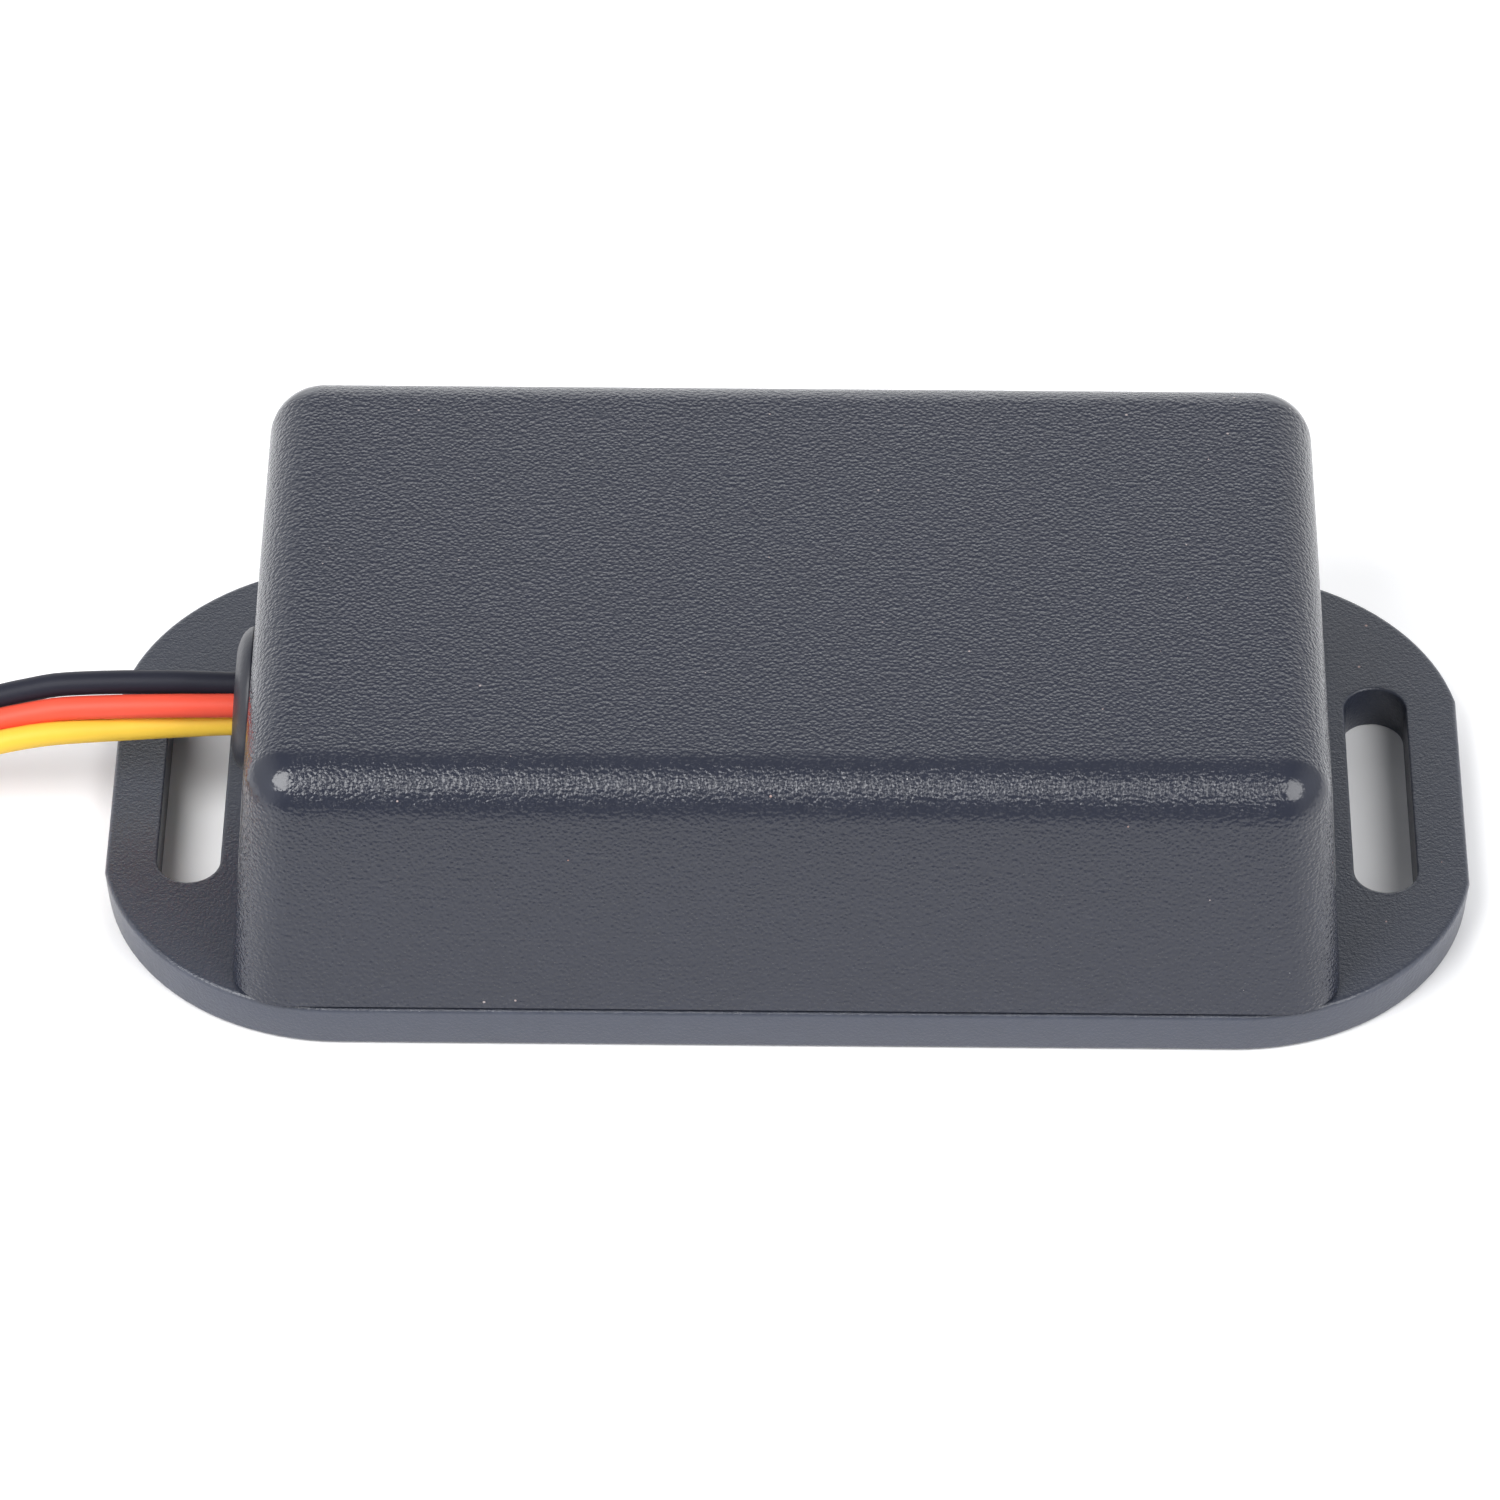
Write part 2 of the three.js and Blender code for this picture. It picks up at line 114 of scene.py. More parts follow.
def softened(profile, size, steps=4):
    # rounds a broken line: each inner corner becomes the quadratic curve (1-t)^2 a + 2t(1-t) p + t^2 b,
    # where a and b lie size away from the corner p, or 45 per cent of the way to a near neighbour
    p = np.asarray(profile, float)
    size = np.broadcast_to(size, len(p))
    t = np.linspace(0, 1, steps + 1)[:, None]
    out = [p[:1]]
    for i in range(1, len(p) - 1):
        before, after = p[i - 1] - p[i], p[i + 1] - p[i]
        a = p[i] + before * min(0.45, size[i] / max(np.linalg.norm(before), 1e-9))
        b = p[i] + after * min(0.45, size[i] / max(np.linalg.norm(after), 1e-9))
        out.append((1 - t) ** 2 * a + 2 * t * (1 - t) * p[i] + t**2 * b)
    out.append(p[-1:])
    return np.concatenate(out)


def turnedRings(profile, sides):
    # every [radius, height] of a profile turned about an upright axis: (r cos a, r sin a, z)
    p = np.asarray(profile, float)
    a = np.linspace(0, 2 * np.pi, sides, endpoint=False)
    z = np.broadcast_to(p[:, 1:], (len(p), sides))
    return np.stack([p[:, :1] * np.cos(a), p[:, :1] * np.sin(a), z], -1)


def revolved(profile, sides=48, at=(0, 0, 0)):
    # a turned solid: the profile runs with the solid on its left, and closes where it meets the axis
    p = np.asarray(profile, float)
    first, last = p[0], p[-1]
    body = p[(1 if first[0] == 0 else 0) : (-1 if last[0] == 0 else len(p))]
    points, faces = stacked(
        turnedRings(body, sides),
        (0, 0, first[1]) if first[0] == 0 else None,
        (0, 0, last[1]) if last[0] == 0 else None,
    )
    return points + np.asarray(at, float), faces


# signs of the four corners, anticlockwise from +X +Y
cornerSigns = ((1, 1), (-1, 1), (-1, -1), (1, -1))


def joinedArcs(arcs, counts):
    # a closed loop: four arcs with evenly divided straights between them, counts steps to a straight
    loop = []
    for k, count in enumerate(counts):
        p, q = arcs[k][:, -1:], arcs[(k + 1) % 4][:, :1]
        loop += [arcs[k], p + (q - p) * np.linspace(0, 1, count + 1)[1:-1, None]]
    return np.concatenate(loop, 1)


def roundedLoop(halfX, halfY, radius, corner=10, straight=8):
    # anticlockwise from +X: at each corner its centre plus radius times (cos a, sin a); the sizes may be
    # arrays, one loop for each entry
    sizes = np.broadcast_arrays(halfX, halfY, radius)
    hx, hy, r = (np.atleast_1d(np.asarray(v, float))[:, None] for v in sizes)
    arcs = []
    for k, (sx, sy) in enumerate(cornerSigns):
        a = np.radians(90 * k + np.linspace(0, 90, corner + 1))
        arcs.append(np.stack([sx * (hx - r) + r * np.cos(a), sy * (hy - r) + r * np.sin(a)], -1))
    return joinedArcs(arcs, [straight] * 4)


def atHeights(loops, z):
    # gives every loop of a stack its own height
    z = np.broadcast_to(np.asarray(z, float)[:, None, None], loops.shape[:2] + (1,))
    return np.concatenate([loops, z], -1)


def swept(path, section, side, rise):
    # the section [s, u] at each path point p: p + s * side + u * rise
    return path[:, None] + section[..., :1] * side[:, None] + section[..., 1:] * rise[:, None]


def carried(path, section, up=(0, 0, 1.0)):
    # a closed section of [sideways, upwards] points carried along a path and closed flat at both ends,
    # where sideways is square to the path and to up
    path = np.asarray(path, float)
    tangent = np.gradient(path, axis=0)
    tangent /= np.linalg.norm(tangent, axis=1)[:, None]
    side = np.cross(tangent, up)
    side /= np.linalg.norm(side, axis=1)[:, None]
    rings = swept(path, section, side, np.cross(side, tangent))
    return stacked(rings, path[0], path[-1])


def bar(width, thickness):
    # a flat rectangular section with slightly broken corners
    return roundedLoop(width / 2, thickness / 2, 0.25 * thickness, 2, 1)[0]


def runAlong(path):
    # the distance from the path's start to each of its points
    return np.concatenate([[0], np.cumsum(np.linalg.norm(np.diff(path, axis=0), axis=1))])


def smoothRoute(points, spacing):
    # a cubic Hermite curve through the points: each tangent is the chord between the two neighbours
    # over the distance between them, sampled evenly at about the given spacing
    p = np.asarray(points, float)
    chord = np.linalg.norm(np.diff(p, axis=0), axis=1)
    t = runAlong(p)
    slope = np.empty_like(p)
    slope[1:-1] = (p[2:] - p[:-2]) / (t[2:] - t[:-2])[:, None]
    slope[0] = (p[1] - p[0]) / chord[0]
    slope[-1] = (p[-1] - p[-2]) / chord[-1]
    s = np.linspace(0, t[-1], max(2, int(round(t[-1] / spacing)) + 1))
    k = np.clip(np.searchsorted(t, s, side="right") - 1, 0, len(chord) - 1)
    h = chord[k][:, None]
    u = (s - t[k])[:, None] / h
    return (
        (2 * u**3 - 3 * u**2 + 1) * p[k]
        + (u**3 - 2 * u**2 + u) * h * slope[k]
        + (3 * u**2 - 2 * u**3) * p[k + 1]
        + (u**3 - u**2) * h * slope[k + 1]
    )


def moved(shape, turn=0.0, at=(0, 0, 0)):
    # turned about the upright axis by degrees, then shifted
    points, faces = shape
    a = math.radians(turn)
    spin = np.array([[math.cos(a), -math.sin(a), 0], [math.sin(a), math.cos(a), 0], [0, 0, 1]])
    return points @ spin.T + np.asarray(at, float), faces


def makePiece(name, shapes, sharp=40.0, scale=mm):
    # joins shapes into one mesh object at the origin; edges bent more than sharp degrees stay crisp
    points, faces, count = [], [], 0
    for p, f in shapes:
        points.append(p)
        faces += [[i + count for i in face] for face in f]
        count += len(p)
    mesh = bpy.data.meshes.new(name)
    mesh.from_pydata((np.concatenate(points) * scale).tolist(), [], faces)
    mesh.update()
    piece = bpy.data.objects.new(name, mesh)
    scene.collection.objects.link(piece)
    smoothed(piece, sharp)
    return piece


def smoothed(piece, sharp):
    mesh = piece.data
    mesh.polygons.foreach_set("use_smooth", np.full(len(mesh.polygons), True))
    mesh.set_sharp_from_angle(angle=math.radians(sharp))
    mesh.update()


def combined(piece, others, operation, sharp=30.0):
    # joins or cuts with closed helper solids, applied at once
    for other in others:
        step = piece.modifiers.new("combine", "BOOLEAN")
        step.object = other
        step.operation = operation
        step.solver = "EXACT"
    bpy.context.view_layer.update()
    graph = bpy.context.evaluated_depsgraph_get()
    mesh = bpy.data.meshes.new_from_object(piece.evaluated_get(graph))
    piece.modifiers.clear()
    piece.data = mesh
    for other in others:
        bpy.data.objects.remove(other)
    smoothed(piece, sharp)


def writeMark(mesh, name, values):
    layer = mesh.attributes.new(name, "FLOAT", "POINT")
    layer.data.foreach_set("value", values.astype(np.float32))


# where the marks begin and how softly they grow, as parts of a normal's components
markShape = {
    "edge": (0.01, 0.25),
    "corner": (0.03, 0.12),
    "upward": (0.2, 0.2),
    "polish": 0.85,
    "plateTop": 3.05,  # mm
    "slotBox": (37.3, 9.2),
}


def markSurface(piece, shape):
    # three marks at each point: edge is how far its normal leans away from the nearest axis, polish is 1
    # within a rounded top corner, and the third is 1 on the base plate's upright outer sides: a painted
    # highlight mark, which makes those sides paler to stand in for light from the bright floor close by
    mesh = piece.data
    normals, spots = (np.empty(len(mesh.vertices) * 3, np.float32) for _ in range(2))
    mesh.vertices.foreach_get("normal", normals)
    mesh.vertices.foreach_get("co", spots)
    up = normals[2::3]
    start, span = shape["edge"]
    lean = (1 - np.abs(normals.reshape(-1, 3)).max(1) - start) / span
    writeMark(mesh, "edge", np.clip(lean, 0, 1))
    start, span = shape["corner"]
    corner = np.clip((np.minimum(np.abs(normals[0::3]), np.abs(normals[1::3])) - start) / span, 0, 1)
    start, span = shape["upward"]
    writeMark(mesh, "polish", shape["polish"] * corner * np.clip((up - start) / span, 0, 1))
    slotX, slotY = shape["slotBox"]
    inSlot = (np.abs(spots[0::3]) < slotX * mm) & (np.abs(spots[1::3]) < slotY * mm)
    # painted highlight: the plate's upright outer sides, but not its slot walls, are marked to be painted
    # paler
    writeMark(mesh, "painted_side_light", (1 - np.abs(up)) * (spots[2::3] < shape["plateTop"] * mm) * ~inSlot)


print("shape makers ready")


# node groups that several finishes share
def newGroup(name, inputs, outputs):
    # inputs by name with their defaults: none for a vector, four numbers for a colour; outputs by name
    # with their kind
    group = bpy.data.node_groups.new(name, "ShaderNodeTree")
    for label, value in inputs.items():
        kind = "Vector" if value is None else "Color" if isinstance(value, tuple) else "Float"
        socket = group.interface.new_socket(label, in_out="INPUT", socket_type="NodeSocket" + kind)
        if value is not None:
            socket.default_value = value
    for label, kind in outputs.items():
        group.interface.new_socket(label, in_out="OUTPUT", socket_type="NodeSocket" + kind)
    return group, group.nodes.new("NodeGroupInput"), group.nodes.new("NodeGroupOutput")


def addNode(tree, kind, values=None, links=None, **settings):
    # a node with its plain values set and its inputs linked from other nodes' outputs
    node = tree.nodes.new("ShaderNode" + kind)
    for key, value in settings.items():
        setattr(node, key, value)
    for key, value in (values or {}).items():
        node.inputs[key].default_value = value
    for key, source in (links or {}).items():
        tree.links.new(source, node.inputs[key])
    return node


def calc(tree, operation, a, b, clamp=False):
    # a Math node on two inputs, each a number or another node's output
    node = tree.nodes.new("ShaderNodeMath")
    node.operation = operation
    node.use_clamp = clamp
    for socket, value in zip(node.inputs, (a, b)):
        if isinstance(value, (int, float)):
            socket.default_value = value
        else:
            tree.links.new(value, socket)
    return node.outputs[0]


def scaledBy(tree, vector, factor):
    # a colour or vector times another node's number
    return addNode(tree, "VectorMath", None, {0: vector, "Scale": factor}, operation="SCALE").outputs[0]


def blendOf(tree, kind, share, a, b):
    # from a to b by share: a Mix node whose inputs are each a value or another node's output
    node = addNode(tree, "Mix", data_type=kind)
    first, end = (2, 0) if kind == "FLOAT" else (6, 2)
    for place, value in ((0, share), (first, a), (first + 1, b)):
        if isinstance(value, bpy.types.NodeSocket):
            tree.links.new(value, node.inputs[place])
        else:
            node.inputs[place].default_value = value
    return node.outputs[end]


def easedRise(tree, value, low, high, top):
    # 0 where the value is low, top where it is high, and a smooth step between
    values = {1: low, 2: high, 3: 0.0, 4: top}
    return addNode(tree, "MapRange", values, {0: value}, interpolation_type="SMOOTHSTEP").outputs[0]


def markOf(tree, name):
    # the piece's own mark of that name
    return addNode(tree, "Attribute", attribute_name=name, attribute_type="GEOMETRY").outputs["Fac"]


def noiseOf(tree, at, scale, detail, roughness=0.5):
    values = {"Detail": detail, "Roughness": roughness}
    return addNode(tree, "TexNoise", values, {"Vector": at, "Scale": scale})


def makeGrainGroup():
    # moulded grain: rounded pebbles of the given size in metres, their outlines bent by a quarter of it
    # each way, mixed with finer noise; height 0 to 1
    inputs = {"Vector": None, "Pebble Size": 0.0005, "Fine Share": 0.3}
    group, given, result = newGroup("mouldGrain", inputs, {"Height": "Float"})
    at, pebble = given.outputs["Vector"], given.outputs["Pebble Size"]
    scale = calc(group, "DIVIDE", 1.0, pebble)
    bend = noiseOf(group, at, scale, 1.0).outputs["Color"]
    centred = addNode(group, "VectorMath", {1: (0.5, 0.5, 0.5)}, {0: bend}, operation="SUBTRACT")
    shift = scaledBy(group, centred.outputs[0], calc(group, "MULTIPLY", pebble, 0.5))
    place = addNode(group, "VectorMath", None, {0: at, 1: shift}, operation="ADD")
    pebbles = addNode(
        group,
        "TexVoronoi",
        {"Smoothness": 0.35, "Randomness": 0.95},
        {"Vector": place.outputs[0], "Scale": scale},
        feature="SMOOTH_F1",
    )
    fine = noiseOf(group, at, calc(group, "MULTIPLY", scale, 2.3), 2.0, 0.6)
    dome = calc(group, "SUBTRACT", 1.0, pebbles.outputs["Distance"], True)
    height = blendOf(group, "FLOAT", given.outputs["Fine Share"], dome, fine.outputs["Fac"])
    group.links.new(height, result.inputs["Height"])
    return group


def makeDriftGroup():
    # slow drift of a colour: lighter and darker by the given amount in soft patches of the given size
    inputs = {"Vector": None, "Tone": (0.5, 0.5, 0.5, 1), "Amount": 0.1, "Patch Size": 0.01}
    group, given, result = newGroup("toneDrift", inputs, {"Color": "Color", "Patch": "Float"})
    scale = calc(group, "DIVIDE", 1.0, given.outputs["Patch Size"])
    patch = noiseOf(group, given.outputs["Vector"], scale, 4.0, 0.62).outputs["Fac"]
    swing = calc(group, "MULTIPLY", calc(group, "SUBTRACT", patch, 0.5), given.outputs["Amount"])
    factor = calc(group, "ADD", calc(group, "MULTIPLY", swing, 2.0), 1.0)
    group.links.new(scaledBy(group, given.outputs["Tone"], factor), result.inputs["Color"])
    group.links.new(patch, result.inputs["Patch"])
    return group


def makeDustGroup():
    # sparse round specks: the share of cells that hold one, and its radius as a part of the cell
    inputs = {"Vector": None, "Spacing": 0.002, "Radius": 0.04, "Share": 0.1}
    group, given, result = newGroup("dustSpecks", inputs, {"Mask": "Float", "Tint": "Float"})
    scale = calc(group, "DIVIDE", 1.0, given.outputs["Spacing"])
    links = {"Vector": given.outputs["Vector"], "Scale": scale}
    cells = addNode(group, "TexVoronoi", {"Randomness": 1.0}, links, feature="F1")
    draw = addNode(group, "SeparateColor", None, {0: cells.outputs["Color"]})
    chosen = calc(group, "LESS_THAN", draw.outputs[0], given.outputs["Share"])
    radius = calc(group, "MULTIPLY", given.outputs["Radius"], calc(group, "ADD", draw.outputs[1], 0.4))
    near = calc(group, "LESS_THAN", cells.outputs["Distance"], radius)
    group.links.new(calc(group, "MULTIPLY", chosen, near), result.inputs["Mask"])
    group.links.new(draw.outputs[2], result.inputs["Tint"])
    return group


def makeRubGroup():
    # rubbed edges: the piece's own edge mark broken up by noise, 0 to 1
    inputs = {"Vector": None, "Edge": 0.0, "Patch Size": 0.002}
    group, given, result = newGroup("edgeRub", inputs, {"Mask": "Float"})
    scale = calc(group, "DIVIDE", 1.0, given.outputs["Patch Size"])
    noise = noiseOf(group, given.outputs["Vector"], scale, 3.0, 0.7)
    worn = calc(group, "MULTIPLY", calc(group, "SUBTRACT", noise.outputs["Fac"], 0.42), 3.0, True)
    group.links.new(calc(group, "MULTIPLY", worn, given.outputs["Edge"], True), result.inputs["Mask"])
    return group


groups = {
    "grain": makeGrainGroup(),
    "drift": makeDriftGroup(),
    "dust": makeDustGroup(),
    "rub": makeRubGroup(),
}


def useGroup(tree, key, values=None, links=None):
    return addNode(tree, "Group", values, links, node_tree=groups[key])


# finishes: tone is linear colour; rough is the middle and half the spread; grain is the pebble size in
# metres, the share of fine noise and the bump's height in metres; dust is spacing, radius and share
finishes = {
    "housing_plastic": {
        "tone": (0.0255, 0.0285, 0.0425),
        "drift": 0.08,
        "patch": 0.002,
        "rough": (0.135, 0.03),
        "grain": (0.00024, 0.3, 0.000082),
        "polish": 0.6,  # level that the grain settles to
        "dust": (0.0016, 0.036, 0.5),
        "rub": 0.1,
    },
    "base_plastic": {
        "tone": (0.031, 0.036, 0.054),
        "specular": 0.75,
        # painted highlight: the share by which the upright outer sides are painted paler
        "painted_side_light": 0.45,
        "drift": 0.14,
        "patch": 0.0012,
        "rough": (0.34, 0.06),
        "grain": (0.00022, 0.6, 0.00005),
        "dust": (0.0018, 0.036, 0.5),
        "rub": 0.35,
    },
    "grommet_rubber": {
        "tone": (0.026, 0.028, 0.038),
        "rough": (0.42, 0.08),
        "grain": (0.0003, 0.5, 0.00002),
    },
    "board_laminate": {
        "tone": (0.012, 0.095, 0.040),
        "rough": (0.34, 0.08),
        "grain": (0.0006, 0.2, 0.000012),
    },
    "board_tracks": {
        "tone": (0.030, 0.190, 0.070),
        "rough": (0.34, 0.06),
        "grain": (0.0006, 0.2, 0.000006),
    },
    "board_print": {
        "tone": (0.78, 0.78, 0.74),
        "rough": (0.6, 0.08),
        "grain": (0.0002, 0.7, 0.000006),
    },
    "chip_epoxy": {
        "tone": (0.017, 0.0175, 0.020),
        "rough": (0.55, 0.08),
        "grain": (0.00016, 0.7, 0.00001),
    },
    "capacitor_sleeve": {
        "tone": (0.016, 0.019, 0.040),
        "rough": (0.3, 0.08),
        "grain": (0.0008, 0.3, 0.00001),
    },
    "fuse_polymer": {
        "tone": (0.035, 0.15, 0.07),
        "rough": (0.5, 0.08),
        "grain": (0.0002, 0.5, 0.00001),
    },
    "capacitor_ceramic": {
        "tone": (0.36, 0.23, 0.12),
        "rough": (0.45, 0.08),
        "grain": (0.00015, 0.5, 0.000008),
    },
    "screw_steel": {
        "tone": (0.55, 0.56, 0.58),
        "metal": 1.0,
        "rough": (0.28, 0.12),
        "grain": (0.0003, 0.6, 0.000008),
    },
    "solder_tin": {
        "tone": (0.72, 0.73, 0.75),
        "metal": 1.0,
        "rough": (0.26, 0.14),
        "grain": (0.0004, 0.4, 0.00002),
    },
    "lead_pvc_black": {
        "tone": (0.019, 0.020, 0.031),
        "specular": 0.18,
        "rough": (0.5, 0.06),
        "grain": (0.0005, 0.4, 0.000008),
    },
    "lead_pvc_red": {
        "tone": (0.84, 0.090, 0.050),
        "specular": 0.3,
        "rough": (0.5, 0.06),
        "grain": (0.0005, 0.4, 0.000008),
    },
    "lead_pvc_yellow": {
        "tone": (0.82, 0.53, 0.055),
        "specular": 0.3,
        "rough": (0.5, 0.06),
        "grain": (0.0005, 0.4, 0.000008),
    },
    "tie_plastic": {
        "tone": (0.018, 0.018, 0.020),
        "rough": (0.4, 0.1),
        "grain": (0.0003, 0.5, 0.00001),
    },
}


dustTints = ((0.60, 0.60, 0.62, 1), (0.50, 0.24, 0.17, 1))


def makeFinish(name, look):
    # tone drifts in patches, specks and rubbed edges lie over it, and the grain drives bump and roughness
    material = bpy.data.materials.new(name)
    material.use_nodes = True
    tree = material.node_tree
    shader = tree.nodes["Principled BSDF"]
    at = addNode(tree, "TexCoord").outputs["Object"]
    tone = (*look["tone"], 1.0)
    size = {"Tone": tone, "Amount": look.get("drift", 0.08), "Patch Size": look.get("patch", 0.003)}
    drift = useGroup(tree, "drift", size, {"Vector": at})
    colour = drift.outputs["Color"]
    if "painted_side_light" in look:
        # painted highlight: upright outer faces are painted paler, to stand in for light from the bright
        # floor close by, by the share that the piece's own mark for it gives
        gain = calc(tree, "ADD", calc(tree, "MULTIPLY", markOf(tree, "painted_side_light"), look["painted_side_light"]), 1.0)
        colour = scaledBy(tree, colour, gain)
    base, spread = look["rough"]
    wave = calc(tree, "MULTIPLY", calc(tree, "SUBTRACT", drift.outputs["Patch"], 0.5), 2 * spread)
    rough = calc(tree, "ADD", wave, base)
    if "rub" in look:
        rub = useGroup(tree, "rub", None, {"Vector": at, "Edge": markOf(tree, "edge")})
        share = calc(tree, "MULTIPLY", rub.outputs["Mask"], look["rub"])
        lighter = (*(min(1.0, 2.2 * c) for c in look["tone"]), 1.0)
        colour = blendOf(tree, "RGBA", share, colour, lighter)
        rough = calc(tree, "SUBTRACT", rough, calc(tree, "MULTIPLY", share, 0.15))
    if "dust" in look:
        values = dict(zip(("Spacing", "Radius", "Share"), look["dust"]))
        dust = useGroup(tree, "dust", values, {"Vector": at})
        mask = dust.outputs["Mask"]
        tint = blendOf(tree, "RGBA", dust.outputs["Tint"], *dustTints)
        colour = blendOf(tree, "RGBA", calc(tree, "MULTIPLY", mask, 0.6), colour, tint)
        rough = calc(tree, "ADD", rough, calc(tree, "MULTIPLY", mask, 0.3), True)
    pebble, fine, depth = look["grain"]
    grain = useGroup(tree, "grain", {"Pebble Size": pebble, "Fine Share": fine}, {"Vector": at})
    height = grain.outputs["Height"]
    if "polish" in look:
        # the grain fades out where the piece's own polish mark is 1
        height = blendOf(tree, "FLOAT", markOf(tree, "polish"), height, look["polish"])
    bump = addNode(tree, "Bump", {"Strength": 1.0, "Distance": depth}, {"Height": height})
    tree.links.new(colour, shader.inputs["Base Color"])
    tree.links.new(rough, shader.inputs["Roughness"])
    tree.links.new(bump.outputs["Normal"], shader.inputs["Normal"])
    shader.inputs["Metallic"].default_value = look.get("metal", 0.0)
    shader.inputs["Specular IOR Level"].default_value = look.get("specular", 0.5)
    material.diffuse_color = tone
    return material


materials = {name: makeFinish(name, look) for name, look in finishes.items()}
print("finishes made:", len(materials))


def settle(piece, body, slot, finish=None, replaces=()):
    # finish, body and slot of a finished piece
    piece.data.materials.clear()
    piece.data.materials.append(materials[finish or slot])
    if replaces:
        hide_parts(*replaces)
    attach(piece, body)
    return piece


# leads: they come first, so that their spread is known
leadShape = {
    "radius": 0.71,
    "coilCentre": (-70.0, -12.0),
    "coilRadii": {"black": 13.45, "red": 12.0, "yellow": 10.55},
    "coilTurns": {"black": 415.0, "red": 465.0, "yellow": 530.0},  # degrees
    "coilStart": 90.0,  # degrees
    "coilStep": 15.0,
    "coilZ": (0.73, 2.16),  # heights of the lower and upper layer
    "tieAngle": 120.0,
    "tieLift": 0.46,
    "tieSpread": 22.0,  # degrees over which the lift fades
    "sink": (330.0, 400.0),  # degrees round the coil over which a lead drops to the lower layer
    "tail": (3.0, 14.0),  # where it starts and ends, past the coil
    "tipOverlap": 0.4,
    "strip": 5.3,
    "tipRadius": 0.45,
    "spacing": (0.0006, 0.00012),  # metres between points of a lead and of its tip
    "length": 0.150,  # metres
}

# route points in metres, from inside the grommet to where the coil begins
leadRoutes = {
    "black": [
        (-0.03120, 0.00058, 0.01008), (-0.03205, 0.00060, 0.01010), (-0.03305, 0.00063, 0.01012),
        (-0.03440, 0.00066, 0.01014), (-0.03580, 0.00070, 0.01015), (-0.03930, 0.00090, 0.00992),
        (-0.04290, 0.00110, 0.00950), (-0.04470, 0.00120, 0.00898), (-0.04650, 0.00130, 0.00835),
        (-0.05000, 0.00140, 0.00700), (-0.05400, 0.00145, 0.00550), (-0.05800, 0.00145, 0.00415),
        (-0.06330, 0.00145, 0.00280), (-0.06680, 0.00145, 0.00232),
    ],
    "red": [
        (-0.03120, -0.00080, 0.00970), (-0.03205, -0.00079, 0.00968), (-0.03305, -0.00078, 0.00966),
        (-0.03430, -0.00075, 0.00961), (-0.03570, -0.00070, 0.00955), (-0.03930, -0.00045, 0.00921),
        (-0.04280, -0.00020, 0.00874), (-0.04460, -0.00010, 0.00824), (-0.04640, 0.00000, 0.00765),
        (-0.05000, 0.00000, 0.00640), (-0.05400, 0.00000, 0.00510), (-0.05750, 0.00000, 0.00405),
        (-0.06100, 0.00000, 0.00320), (-0.06600, 0.00000, 0.00236),
    ],
    "yellow": [
        (-0.03120, -0.00044, 0.00799), (-0.03205, -0.00045, 0.00797), (-0.03305, -0.00047, 0.00795),
        (-0.03440, -0.00053, 0.00791), (-0.03580, -0.00060, 0.00787), (-0.03940, -0.00080, 0.00773),
        (-0.04300, -0.00105, 0.00760), (-0.04470, -0.00120, 0.00742), (-0.04650, -0.00138, 0.00710),
        (-0.05000, -0.00145, 0.00610), (-0.05400, -0.00145, 0.00490), (-0.05700, -0.00145, 0.00415),
        (-0.05950, -0.00145, 0.00350), (-0.06500, -0.00145, 0.00248),
    ],
}


def coilPoints(name, shape):
    # the turns of one lead: a circle of its own radius, on the upper layer first and then the lower,
    # raised a little where the tie passes under the bundle
    low, high = shape["coilZ"]
    start, stop = shape["sink"]
    radius = shape["coilRadii"][name]
    turns = shape["coilTurns"][name]
    angle = shape["coilStart"] + np.linspace(0, turns, int(round(turns / shape["coilStep"])) + 1)
    t = np.clip((angle - start) / (stop - start), 0, 1)
    z = high + (low - high) * t * t * (3 - 2 * t)
    away = (angle - shape["tieAngle"] + 180.0) % 360.0 - 180.0
    z = z + shape["tieLift"] * np.exp(-((away / shape["tieSpread"]) ** 2))
    a = np.radians(angle)
    x = shape["coilCentre"][0] + radius * np.cos(a)
    y = shape["coilCentre"][1] + radius * np.sin(a)
    return (np.stack([x, y, z], -1) * mm).tolist()


def tailPoints(name, shape, first, last, count=5):
    # straight on along the coil's tangent where the lead leaves it
    a = math.radians(shape["coilStart"] + shape["coilTurns"][name])
    radius = shape["coilRadii"][name]
    leave = np.array([radius * math.cos(a), radius * math.sin(a), shape["coilZ"][0]])
    leave[:2] += shape["coilCentre"]
    along = np.array([-math.sin(a), math.cos(a), 0.0])
    return ((leave + np.linspace(first, last, count)[:, None] * along) * mm).tolist()


def roundSection(radii, sides):
    # a ring of [r cos a, r sin a] for each path point; radii may vary round the ring too
    a = np.linspace(0, 2 * np.pi, sides, endpoint=False)
    return np.stack([radii * np.cos(a), radii * np.sin(a)], -1)


def strandTwist(path, radius, lobes=6, wave=0.09, pitch=0.00175, sides=42):
    # section of a twisted strand bundle: radius times (1 + wave cos(lobes a + turn)), the turn growing by
    # a full circle each pitch, and drawn in to 0.55 of itself at both ends
    a = np.linspace(0, 2 * np.pi, sides, endpoint=False)
    along = runAlong(path)
    r = radius * (1 + wave * np.cos(lobes * a + 2 * np.pi * along[:, None] / pitch))
    ends = np.clip(np.minimum(along, along[-1] - along) / (0.35 * radius), 0, 1)
    return roundSection(r * (0.55 + 0.45 * np.sqrt(ends))[:, None], sides)


def leadSection(path, radius, rounding=0.0002, sides=20):
    # a plain round section, drawn in to 0.86 of itself over the rounding in metres at both ends
    along = runAlong(path)
    ends = np.clip(np.minimum(along, along[-1] - along) / rounding, 0, 1)
    return roundSection((radius * (0.86 + 0.14 * np.sqrt(ends)))[:, None], sides)


